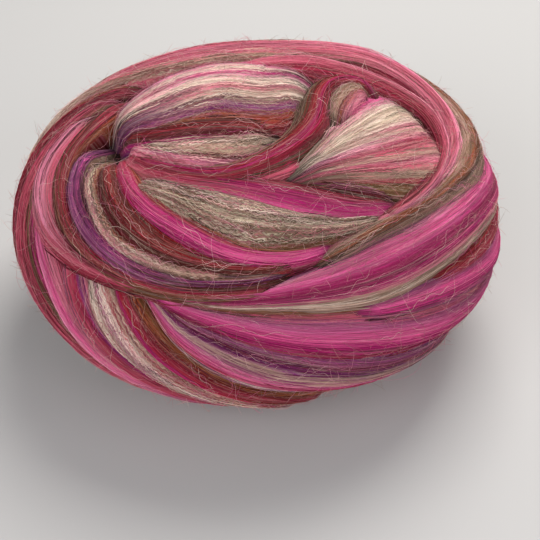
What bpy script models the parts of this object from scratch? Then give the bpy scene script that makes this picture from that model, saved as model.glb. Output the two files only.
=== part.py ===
"""Ball of combed wool roving: one long soft rope of fibre wound into a low round bun.

Axes: X to the ball's right, Y to its back, Z up, metres.  It rests on its flat spot, z = 0.
A place on the ball is a bearing (0 right, 90 back, 180 left, 270 front) and a latitude.
"""
import math
from collections import namedtuple

import bmesh
import bpy
import numpy as np

MM = 0.001

# Overall sizes of the ball
HALF_LENGTH = 110 * MM      # centre to the outermost turn, along X
HALF_DEPTH = 104 * MM       # centre to the outermost turn, along Y
CAP_RISE = 66 * MM          # widest turn to the crown
BELLY_DROP = 62 * MM        # widest turn down to where the round underside would end
WIDEST_HEIGHT = 54 * MM     # height of the widest turn above the table

# The rope and how it lies
CORE_INSET = 9 * MM         # the wound core lies this far under the outer turns
BASE_FULL = -0.90           # below this share of the drop the core is full, for the flat spot
BASE_EASE = 0.22            # and it eases back to its inset over this share
ROOT_DEPTH = 15 * MM        # every pass reaches this far into the core
END_DIVE = 8 * MM           # how far a pass sinks where it tucks under the next
END_REACH = 22 * MM         # length of a pass taken by that sinking, at each end
OVERLAP = 1.3               # a pass is this much wider than what shows of it
DEEPEST_SHARE = 0.45        # the creases beside a narrow pass are at most this share of its width
STEP_ALONG = 3.0 * MM       # spacing of sections along a pass
STEPS_ACROSS = 12           # faces across a pass
NARROWEST = 1.5 * MM        # width of a pass at a pointed tip

# The hidden winding round the sides, the back and the underside
WIND_TURNS = 8
WIND_FROM = -74             # latitude where the lowest turn starts
WIND_TO = 34                # latitude where the highest turn ends
WIND_WIDTH = 25             # mm, as in the table
WIND_DEPTH = 6 * MM         # crease depth between its turns
WIND_LIFT = -1.5 * MM       # a little under the passes that show
WIND_WOBBLE = 4             # degrees each turn rises and falls
WIND_PHASE = 130            # degrees from where one turn is highest to where the next is
BACK_BEARING = 80           # the turns climb higher here, at the back
BACK_RISE = 14              # degrees that the highest turn is higher there
COVERED_BEARING = 255       # and lie deeper here, under the passes at the front
COVERED_SINK = 7            # mm

# The surface mesh
BLEND_GRID = 2.2 * MM       # size of the grid the passes are merged on
KEEP_SHARE = 0.155          # share of faces kept after merging
SOFTEN_TIMES = 3

# A way is degrees, degrees, mm across and mm sunk; a pass stands some mm above the ball, and the
# creases beside it are some mm deep.
Way = namedtuple("Way", "bearing latitude width sink", defaults=(0,))
Pass = namedtuple("Pass", "name lift crease ways")


def ways(*rows):
    return [Way(*row) for row in rows]


PASSES = [
    # The turns that climb the left side and cross the back
    Pass("outer_left", 0, 9, ways((268, -42, 8), (252, -36, 14), (237, -26, 17), (223, -13, 18),
                                  (211, -2, 19), (202, 6, 19), (194, 14.5, 18), (186, 23.5, 17),
                                  (180, 30.5, 15), (174, 38, 13), (168, 44.5, 10), (162, 51, 7),
                                  (154, 58, 4))),
    Pass("rim_raspberry", 0, 7, ways((254, -54, 5), (230, -45, 10), (210, -32, 16), (196, -17, 19),
                                     (186, -4, 19), (177.5, 8, 17), (169.5, 20, 15), (163.5, 31, 13),
                                     (160, 40, 12), (157, 48, 11), (153, 55.5, 9), (145, 62, 5))),
    Pass("rim_pale", 2, 8, ways((236, -60, 4, 3), (212, -50, 7, 2), (193, -36, 10, 1), (180, -20, 11),
                                (171, -6, 11), (164.5, 8, 11), (159, 21, 11), (154.5, 32, 12),
                                (151, 42, 11), (147, 51, 10), (138, 60, 11), (122, 65.5, 12),
                                (100, 67.5, 12), (78, 66.5, 11), (60, 63.5, 8), (46, 59.5, 5, 4))),
    Pass("rim_pink", 1, 9, ways((172, -18, 4, 4), (162, -4, 8, 2), (154, 12, 11), (147, 30, 13),
                                (137, 43.5, 15), (122, 51.5, 18), (105, 56.5, 19), (85, 59, 19, -1),
                                (68, 58.5, 19, -3), (54, 54, 19, -5), (42, 48, 18, -6),
                                (29, 42, 16, -5), (16, 38, 13, -3), (3, 37.2, 11, -1), (349, 39, 8),
                                (335, 41, 6), (322, 41.7, 5), (308, 42.2, 4), (294, 40, 2))),
    Pass("back_turn", 1, 9, ways((168, 28, 5, 3), (151, 37, 12), (128, 44, 18), (104, 48.5, 21),
                                 (80, 49.5, 22), (58, 46, 20), (38, 39.5, 14), (20, 34, 7, 2),
                                 (6, 31, 4, 4))),
    Pass("rim_taupe", 2, 9, ways((118, 38, 4, 2), (96, 37.5, 7), (74, 36, 10, -2), (50, 33, 14, -4),
                                 (28, 30, 17, -4), (10, 29.5, 19, -3), (354, 33, 17, -1),
                                 (341, 36.8, 12), (329, 39.2, 9), (315, 40.8, 8), (305, 40.8, 7),
                                 (297, 39.7, 7), (289, 37.6, 5), (279, 34.5, 3))),
    Pass("inner_turn", 2, 9, ways((140, 72, 4, 7), (114, 74, 10, 4), (86, 73, 19, 1), (58, 68, 24),
                                  (38, 61.8, 21), (23, 53.5, 15), (11, 45.8, 11), (357, 42.6, 7.5),
                                  (344, 42.3, 6), (330, 42.4, 5.5), (316, 42.8, 5), (300, 43, 2))),
    # Lower left: turns falling away under the ball
    Pass("left_hot_pink", 0, 9, ways((192, 33, 4), (198, 28.5, 7), (204, 23.5, 9), (210, 19, 10),
                                     (216, 13.5, 11), (221, 7.5, 12), (226, 0, 12), (235, -11, 12),
                                     (248, -24, 10), (268, -38, 6))),
    Pass("left_red", -1, 9, ways((208, 31, 4, 4), (214, 27, 7, 3), (219.5, 22, 9, 1), (224, 14.5, 11),
                                 (229, 6, 12), (234, -2, 13), (243, -13, 12), (256, -26, 10),
                                 (275, -38, 6))),
    Pass("cream_fan", 0, 10, ways((217, 32, 4, 6), (223, 28.5, 8, 5), (228.5, 23.5, 12, 2),
                                  (232.5, 18, 15), (236.5, 11.5, 17), (241, 4.5, 16), (247, -4, 14),
                                  (256, -14, 12), (270, -26, 9), (290, -38, 5))),
    Pass("red_fall", -1, 9, ways((226, 31, 4, 6), (231, 27, 7, 5), (236, 23, 9, 2), (240, 18.5, 10),
                                 (244.5, 12, 11), (249, 5.5, 11), (255, -2, 11), (263, -12, 10),
                                 (276, -24, 8), (296, -36, 5))),
    # Front and right, below the broad sash
    Pass("mauve_fan", -1, 10, ways((235, 30.5, 4, 5), (240, 27, 6, 4), (246, 22.5, 9, 2),
                                   (252, 16.5, 14), (259, 10.5, 21), (268, 3.5, 27), (278, -3, 30),
                                   (292, -11, 28), (310, -19, 23), (332, -27, 16), (354, -33, 10),
                                   (18, -37, 4))),
    Pass("lower_magenta", 0, 10, ways((236, 28, 3), (243, 26, 5), (252, 23.3, 7), (262, 20.5, 11),
                                      (272, 17, 15), (282, 13.5, 19), (292, 10, 22), (304, 5, 22),
                                      (318, -1, 20), (336, -8, 17), (354, -14, 13), (14, -19, 9),
                                      (34, -22, 4))),
    Pass("right_lower", 0, 10, ways((286, 21, 3), (296, 18.5, 7), (304, 16.5, 11), (312, 14.5, 14),
                                    (320, 12, 17), (330, 7.5, 19), (342, 1.5, 20), (0, -5, 18),
                                    (20, -10, 14), (42, -13, 9), (64, -15, 4))),
    Pass("right_drop", -1, 10, ways((306, 20, 3), (317, 18, 7), (328, 16, 12), (338, 13.5, 17),
                                    (350, 11, 21), (8, 8, 22), (30, 5, 18), (54, 3, 13), (78, 1, 8),
                                    (98, 0, 4))),
    # The ring round the crown, and the sash that closes it
    Pass("left_pink", 3, 10, ways((166, 54, 4), (175, 49.7, 8), (182.5, 42.7, 12), (187, 37.5, 15),
                                  (193, 33, 16), (200.5, 29.4, 16), (209, 27, 14.5), (216, 26, 12),
                                  (224, 25.6, 9), (232, 25.7, 7), (241, 26, 5), (252, 26.8, 3))),
    Pass("left_wine", 2.5, 8, ways((160, 63, 5, 1), (171, 58.5, 9), (179, 53.5, 10.5), (186, 47.8, 10),
                                   (191.5, 43, 9.5), (200, 38, 9), (208, 34.5, 9), (216, 31.2, 8),
                                   (224, 29.2, 8), (232, 28, 8), (242, 27.3, 8), (254, 27.6, 7),
                                   (268, 29.5, 5), (282, 33, 3))),
    Pass("ring_purple", 3, 7, ways((187, 56, 3, 4), (195, 51.3, 5), (199.5, 46.3, 6.5),
                                   (204.5, 42, 7.5), (212, 38, 7.5), (222, 34.4, 7.5), (231, 32, 7.5),
                                   (240, 30.3, 7), (250, 29.8, 7), (260, 31, 6), (272, 33, 5),
                                   (284, 36, 3))),
    Pass("ring_cream", 3, 7, ways((193, 57, 3, 7), (201, 50.3, 4), (210, 45, 4.2), (217.5, 41, 4.4),
                                  (225, 37.6, 4.8), (232, 35.4, 5), (240, 34.2, 5), (250, 33.3, 5),
                                  (260, 33.6, 4), (272, 34.8, 3))),
    Pass("sash", 2, 13, ways((124, 6, 4, 2), (104, 5, 8, 1), (78, 4, 13), (52, 4, 18), (27, 6, 20),
                             (6, 13.5, 21), (350, 21.3, 23), (336, 26, 25), (320, 28.5, 27),
                             (302, 28.9, 28), (288, 28.8, 21), (276, 28.4, 13), (266, 27.5, 9),
                             (255, 26.4, 5), (243, 25.6, 3))),
    # The whorl inside the ring
    Pass("wine_slope", 1, 8, ways((191, 56.5, 4, 9), (200, 53, 7, 4), (209, 49.5, 11), (219, 45.5, 14),
                                  (229, 42, 14.5), (238, 39.3, 14), (246, 37.5, 12.5), (256, 36.5, 10),
                                  (266, 36, 8), (277, 37, 6), (290, 40, 3))),
    Pass("magenta_crescent", 1, 9, ways((190, 57, 4, 10), (200, 55, 6, 6), (209, 53.8, 8.5, 2),
                                        (218, 52, 10.5), (227, 49.6, 11.5), (236, 47.6, 12),
                                        (244, 46, 12), (252, 43.9, 12.5), (260, 41.4, 12),
                                        (268, 39.6, 10.5), (276, 38.8, 9.5), (284, 39.2, 8),
                                        (292, 40.7, 6), (300, 42.3, 3))),
    Pass("taupe_lock", 2, 10, ways((207, 53.5, 3, 12), (217, 52, 5, 7), (225, 52, 8.5, 2),
                                   (232, 52.6, 12), (241, 52.8, 15), (250, 51.8, 18.5), (259, 50, 21),
                                   (268, 48.8, 21), (278, 47.4, 18.5), (288, 46, 14), (296, 44.6, 10),
                                   (305, 43.6, 6), (318, 43, 3))),
    Pass("upper_magenta", 1, 8, ways((191, 57, 4, 10), (202, 55.8, 6, 5), (213, 56, 9), (227, 57.4, 10),
                                     (242, 59, 9.5), (255, 59.7, 9), (268, 59, 10), (280, 56.8, 12),
                                     (290, 53.8, 13), (298, 50.6, 12), (306, 47.6, 9), (315, 45, 6),
                                     (326, 43, 3))),
    Pass("fan_shade", 0, 8, ways((278, 61, 3), (290, 59, 7), (300, 55.3, 9), (309, 50.8, 10),
                                 (317, 46.3, 9), (325, 41.5, 6))),
    Pass("fan", 4, 14, ways((276, 60, 4), (287, 60.8, 9), (297, 61.6, 17), (308, 61.8, 28),
                            (320, 61, 41), (333, 58.5, 54), (345, 54.5, 64), (353, 50.2, 68, 1),
                            (358, 45, 67, 4), (1, 38.5, 55, 9))),
    # The crown
    Pass("brown_fold", 0, 8, ways((210, 60, 3), (220, 62, 6), (232, 65, 8), (247, 67.3, 9),
                                  (266, 68.3, 9), (281, 69.8, 6), (296, 72, 3))),
    Pass("blush_streak", 1, 8, ways((189, 57.5, 4, 9), (199, 57.3, 6, 5), (208, 58.3, 8),
                                    (218, 60.5, 9), (232, 62.5, 10), (247, 64, 10), (262, 65.2, 9),
                                    (276, 67.3, 7, 2), (290, 70.3, 5, 5))),
    Pass("cream_streak", 1, 7, ways((195, 57.5, 3, 9), (203, 58.4, 5, 4), (211, 60.3, 8),
                                    (220, 62.8, 11), (231, 66.3, 13), (247, 70, 13), (265, 72, 13),
                                    (286, 73.8, 11), (308, 76.8, 6))),
    Pass("red_arc", 1, 8, ways((186, 54, 4, 8), (194, 55.5, 7, 3), (201, 59, 10), (208, 64, 12),
                               (217, 70, 13), (236, 75.2, 14), (264, 77.2, 14), (290, 77.3, 12),
                               (312, 78.5, 6))),
    Pass("under_hook", 1, 8, ways((236, 60.6, 3, 5), (248, 61.2, 6, 1), (262, 62, 8), (276, 63.6, 10),
                                  (290, 66, 10), (304, 68.5, 7, 3), (316, 70, 4, 6))),
    Pass("dome", 3, 12, ways((194, 47, 3, 10), (192.5, 52, 9, 5), (190.5, 57, 17, 1), (187.5, 61.5, 29),
                             (183, 66.5, 39), (174, 72, 46), (160, 77.5, 49), (140, 83, 50),
                             (70, 87, 49), (25, 82, 43), (12, 76, 31, 1), (7, 71, 18, 6))),
    Pass("hook_inner", 3, 9, ways((318, 65, 4, 3), (325, 68.7, 8), (335, 70.8, 11), (348, 71.2, 12),
                                  (0, 69, 12), (3, 65.5, 11), (358, 61.5, 7))),
    Pass("hook", 5, 12, ways((202, 54.5, 3, 11), (213, 56.8, 4.5, 4), (226, 58.8, 5, 3.5),
                             (240, 60.2, 5.5, 3), (254, 61.5, 6.5, 2), (266, 63.8, 7.5, 1),
                             (278, 66.4, 9), (291, 69, 10.5), (305, 71.4, 12), (322, 73.8, 13),
                             (343, 75.8, 12.5), (6, 74.8, 11.5), (18, 70.5, 11.5), (19, 65.5, 12),
                             (9, 61.6, 9), (357, 59.7, 5, 4))),
]


def direction(bearing, latitude):
    """Unit vector towards a place on the ball."""
    b = math.radians(bearing)
    c = math.radians(latitude)
    return np.array([math.cos(c) * math.cos(b), math.cos(c) * math.sin(b), math.sin(c)])


def surface(dirs):
    """Points on the ball's outer surface and the outward normals there."""
    rise = np.where(dirs[:, 2] >= 0, CAP_RISE, BELLY_DROP)
    radii = np.stack([np.full(len(dirs), HALF_LENGTH), np.full(len(dirs), HALF_DEPTH), rise], 1)
    points = dirs * radii + np.array([0, 0, WIDEST_HEIGHT])
    normals = dirs / radii
    normals /= np.linalg.norm(normals, axis=1, keepdims=True)
    return points, normals


def to_direction(points):
    """The unit vector whose place on the ball lies under each point."""
    p = points - np.array([0, 0, WIDEST_HEIGHT])
    rise = np.where(p[:, 2] >= 0, CAP_RISE, BELLY_DROP)
    d = np.stack([p[:, 0] / HALF_LENGTH, p[:, 1] / HALF_DEPTH, p[:, 2] / rise], 1)
    return d / np.linalg.norm(d, axis=1, keepdims=True)


def through(keys, at):
    """Smooth curve through evenly numbered key rows."""
    padded = np.vstack([2 * keys[0] - keys[1], keys, 2 * keys[-1] - keys[-2]])
    i = np.minimum(at.astype(int), len(keys) - 2)
    f = (at - i)[:, None]
    a, b, c, d = padded[i], padded[i + 1], padded[i + 2], padded[i + 3]
    return 0.5 * (2 * b + (c - a) * f + (2 * a - 5 * b + 4 * c - d) * f ** 2
                  + (3 * b - a - 3 * c + d) * f ** 3)


def centre_line(rows):
    """Directions, widths, sinks and distance travelled, at even steps along a pass."""
    keys = np.array([[*direction(r.bearing, r.latitude), r.width * MM, r.sink * MM] for r in rows])
    fine = through(keys, np.linspace(0, len(keys) - 1.0001, 30 * len(keys)))
    dirs = fine[:, :3] / np.linalg.norm(fine[:, :3], axis=1, keepdims=True)
    points, _ = surface(dirs)
    travel = np.append(0, np.cumsum(np.linalg.norm(np.diff(points, axis=0), axis=1)))
    stations = np.linspace(0, travel[-1], max(8, int(travel[-1] / STEP_ALONG)))
    out = np.stack([np.interp(stations, travel, column) for column in
                    (dirs[:, 0], dirs[:, 1], dirs[:, 2], fine[:, 3], fine[:, 4])], 1)
    dirs = out[:, :3] / np.linalg.norm(out[:, :3], axis=1, keepdims=True)
    return dirs, np.maximum(out[:, 3], NARROWEST), out[:, 4], stations


def end_dip(stations):
    """How far a pass sinks near both its ends: nothing along the middle, END_DIVE at the tips."""
    near = np.clip(1 - np.minimum(stations, stations[-1] - stations) / END_REACH, 0, 1)
    return END_DIVE * near * near * (3 - 2 * near)


def sweep(bm, rows, lift, crease):
    """One pass of the rope: a rounded band laid on the ball, closed, rooted in the core."""
    dirs, widths, sinks, stations = centre_line(rows)
    points, normals = surface(dirs)
    tangents = np.gradient(points, axis=0)
    sides = np.cross(normals, tangents)
    sides /= np.linalg.norm(sides, axis=1, keepdims=True)
    widths = widths * OVERLAP
    depths = np.minimum(crease, DEEPEST_SHARE * widths)
    dip = sinks + end_dip(stations)
    across = np.sin(np.linspace(-1, 1, STEPS_ACROSS + 1) * math.pi / 2)
    top = []
    root = []
    for u in across:
        spread, out = surface(to_direction(points + sides * (u * widths / 2)[:, None]))
        crown = max(math.cos(u * math.pi / 2), 0.0) ** 0.9
        height = lift - depths * (1 - crown) - dip
        top.append(spread + out * height[:, None])
        root.append(spread - out * ROOT_DEPTH)
    rings = []
    for k in range(len(dirs)):
        loop = [bm.verts.new(column[k]) for column in top]
        loop += [bm.verts.new(root[j][k]) for j in (len(across) - 1, len(across) // 2, 0)]
        rings.append(loop)
    for first, second in zip(rings[:-1], rings[1:]):
        for j in range(len(first)):
            n = (j + 1) % len(first)
            bm.faces.new((first[j], second[j], second[n], first[n]))
    bm.faces.new(rings[0])
    bm.faces.new(list(reversed(rings[-1])))


def core(bm):
    """The wound heart of the ball, just under the passes."""
    before = len(bm.verts)
    bmesh.ops.create_icosphere(bm, subdivisions=5, radius=1.0)
    bm.verts.ensure_lookup_table()
    verts = [bm.verts[i] for i in range(before, len(bm.verts))]
    dirs = np.array([v.co[:] for v in verts])
    points, normals = surface(dirs)
    inset = CORE_INSET * np.clip((dirs[:, 2] - BASE_FULL) / BASE_EASE, 0, 1)
    for v, p in zip(verts, points - normals * inset[:, None]):
        v.co = p


def winding_turn(number):
    """The ways of one turn of the hidden winding, with a little of the turns before and after."""
    rows = []
    for step in range(-1, 14):
        share = (number * 12 + step) / (WIND_TURNS * 12)
        share = min(max(share, 0), 1)
        bearing = 290 + 360 * number + 30 * step
        latitude = WIND_FROM + (WIND_TO - WIND_FROM) * share
        latitude += WIND_WOBBLE * math.sin(math.radians(bearing + WIND_PHASE * number))
        behind = max(math.cos(math.radians(bearing - BACK_BEARING)), 0)
        latitude += BACK_RISE * behind * share ** 2
        facing = max(math.cos(math.radians(bearing - COVERED_BEARING)), 0)
        covered = facing * min(max((latitude + 40) / 40, 0), 1)
        rows.append(Way(bearing, latitude, WIND_WIDTH, COVERED_SINK * covered ** 0.5))
    return rows


def material(name, colour):
    made = bpy.data.materials.new(name)
    made.use_nodes = True
    shader = made.node_tree.nodes["Principled BSDF"]
    shader.inputs["Base Color"].default_value = (*colour, 1)
    shader.inputs["Roughness"].default_value = 0.85
    return made


def floor_cutter():
    """Everything below the table plane, taken off to leave the flat spot."""
    mesh = bpy.data.meshes.new("floor_cutter")
    bm = bmesh.new()
    bmesh.ops.create_cube(bm, size=1.0)
    bmesh.ops.scale(bm, vec=(0.4, 0.4, 0.1), verts=bm.verts)
    bmesh.ops.translate(bm, vec=(0, 0, -0.05), verts=bm.verts)
    bm.to_mesh(mesh)
    bm.free()
    cutter = bpy.data.objects.new("floor_cutter", mesh)
    bpy.context.collection.objects.link(cutter)
    cutter.display_type = "WIRE"
    cutter.hide_render = True
    return cutter


def build():
    for old in list(bpy.data.objects):
        bpy.data.objects.remove(old, do_unlink=True)

    bm = bmesh.new()
    core(bm)
    for number in range(WIND_TURNS):
        sweep(bm, winding_turn(number), WIND_LIFT, WIND_DEPTH)
    for item in PASSES:
        sweep(bm, item.ways, item.lift * MM, item.crease * MM)
    bmesh.ops.recalc_face_normals(bm, faces=bm.faces)
    mesh = bpy.data.meshes.new("roving_ball")
    bm.to_mesh(mesh)
    bm.free()
    ball = bpy.data.objects.new("roving_ball", mesh)
    bpy.context.collection.objects.link(ball)
    mesh.materials.append(material("wool_roving", (0.42, 0.10, 0.20)))

    blend = ball.modifiers.new("merge the passes", "REMESH")
    blend.mode = "VOXEL"
    blend.voxel_size = BLEND_GRID
    blend.use_smooth_shade = True
    soften = ball.modifiers.new("soften", "SMOOTH")
    soften.factor = 0.5
    soften.iterations = SOFTEN_TIMES
    thin = ball.modifiers.new("fewer faces", "DECIMATE")
    thin.ratio = KEEP_SHARE
    flat = ball.modifiers.new("flat spot", "BOOLEAN")
    flat.operation = "DIFFERENCE"
    flat.solver = "EXACT"
    flat.object = floor_cutter()


build()
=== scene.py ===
# %% [markdown]
# # A ball of combed wool roving
# Roving is wool that has been combed until every fibre lies the same way, and left as one long,
# soft, unspun rope. This one is wound by hand into a low round bun: long turns go round the side,
# and broad passes cross the crown and tuck under each other. The frame below is the engineering
# model of the same ball. It says how big the ball is and where it sits; this lesson adds the wool.

import math
from collections import namedtuple

import bpy
import numpy as np
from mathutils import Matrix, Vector


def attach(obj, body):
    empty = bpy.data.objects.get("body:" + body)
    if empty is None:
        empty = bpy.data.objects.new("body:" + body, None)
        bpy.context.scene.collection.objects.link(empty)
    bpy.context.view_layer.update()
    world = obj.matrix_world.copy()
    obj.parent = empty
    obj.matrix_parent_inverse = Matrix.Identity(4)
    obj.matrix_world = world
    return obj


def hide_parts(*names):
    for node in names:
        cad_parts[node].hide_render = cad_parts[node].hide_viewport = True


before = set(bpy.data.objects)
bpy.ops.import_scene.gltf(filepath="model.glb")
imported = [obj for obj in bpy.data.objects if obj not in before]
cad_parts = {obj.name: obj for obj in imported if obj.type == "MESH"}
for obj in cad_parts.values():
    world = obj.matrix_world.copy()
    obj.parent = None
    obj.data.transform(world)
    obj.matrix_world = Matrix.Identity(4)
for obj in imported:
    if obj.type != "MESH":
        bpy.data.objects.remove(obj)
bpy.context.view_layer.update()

# %% [markdown]
# ## Sizes
# A place on the ball is given the way a map gives one: a bearing (0 right, 90 back, 180 left,
# 270 front) and a latitude, on a squat ball that is rounder above than below. The same few sizes
# shape the solid under the wool, so what is drawn here lies on it without any fitting.

# %% Sizes of the ball
MM = 0.001
HALF_LENGTH = 110 * MM
HALF_DEPTH = 104 * MM
CAP_RISE = 66 * MM
BELLY_DROP = 62 * MM
WIDEST_HEIGHT = 54 * MM
CORE_INSET = 9 * MM
ROOT_DEPTH = 13 * MM
END_DIVE = 8 * MM
END_REACH = 22 * MM
OVERLAP = 1.3

# %% [markdown]
# ## The dyes
# Hand-dyed wool is never one colour: each length of rope takes several dyes, and fibres of each
# lie side by side. The dyes are written as a painter would name them, in the 0 to 255 numbers of
# a screen, and turned into the linear light values that a shader works in.

# %% The dyes
DYES = {
    "magenta": (180, 32, 108), "hot_pink": (218, 84, 144), "light_pink": (236, 146, 176),
    "dusty_pink": (202, 88, 112), "rose": (208, 118, 138), "raspberry": (152, 30, 60),
    "red": (150, 26, 36), "wine": (88, 16, 24), "deep_magenta": (138, 20, 76),
    "chocolate": (84, 38, 28), "rust": (150, 76, 46), "olive": (112, 78, 48),
    "dark_taupe": (74, 56, 44), "taupe": (130, 102, 84), "beige": (184, 150, 132),
    "ecru": (202, 184, 156), "cream": (228, 205, 188), "purple": (116, 34, 100),
    "mauve": (154, 78, 116), "orchid": (204, 90, 142),
}


def linear(rgb):
    """A screen colour as linear light."""
    out = []
    for value in rgb:
        c = value / 255
        out.append(c / 12.92 if c <= 0.04045 else ((c + 0.055) / 1.055) ** 2.4)
    return (*out, 1.0)


print(len(DYES), "dyes")

# %% [markdown]
# ## The camera
# The camera stands where the photographer stood: in front, looking down at 38 degrees through a
# portrait lens. A small shift of the lens frames the ball a little left of and above the middle.

# %% The camera
AIM = Vector((0, 0, 0.056))
LOOK_DOWN = math.radians(38)
STAND_OFF = 0.582
FOCAL_LENGTH, FILM_WIDTH = 85, 36           # mm
PICTURE, SHIFT_RIGHT, SHIFT_UP = 540, 14, -58       # pixels

lens = bpy.data.cameras.new("camera")
lens.lens = FOCAL_LENGTH
lens.sensor_width = FILM_WIDTH
lens.shift_x = SHIFT_RIGHT / PICTURE
lens.shift_y = SHIFT_UP / PICTURE
camera = bpy.data.objects.new("camera", lens)
camera.location = AIM + STAND_OFF * Vector((0, -math.cos(LOOK_DOWN), math.sin(LOOK_DOWN)))
camera.rotation_euler = (AIM - camera.location).to_track_quat("-Z", "Y").to_euler()
bpy.context.collection.objects.link(camera)
bpy.context.scene.camera = camera
print("camera at", tuple(round(v, 3) for v in camera.location))

# %% [markdown]
# ## The passes of the rope
# Each row is one pass of the rope over the ball: its name, how far it stands above the ball and
# how deep the creases beside it are, in millimetres, how crimped its fibres are (0 silky to 1
# frizzy), its dyes from its right edge to its left edge as seen walking along it, and the ways it
# goes: bearing, latitude, width and sometimes how far it sinks. A row with `then` changes to other
# dyes part of the way along, as hand-dyed rope does.

# %% The passes
Way = namedtuple("Way", "bearing latitude width sink", defaults=(0,))
Pass = namedtuple("Pass", "name lift crease crimp dyes then ways")


def ways(*rows):
    return [Way(*row) for row in rows]


def dyed(text):
    """'magenta .3, cream .8' as a list of (place across, dye)."""
    stops = []
    for part in text.split(","):
        name, place = part.split()
        stops.append((float(place), name))
    return stops


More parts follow.
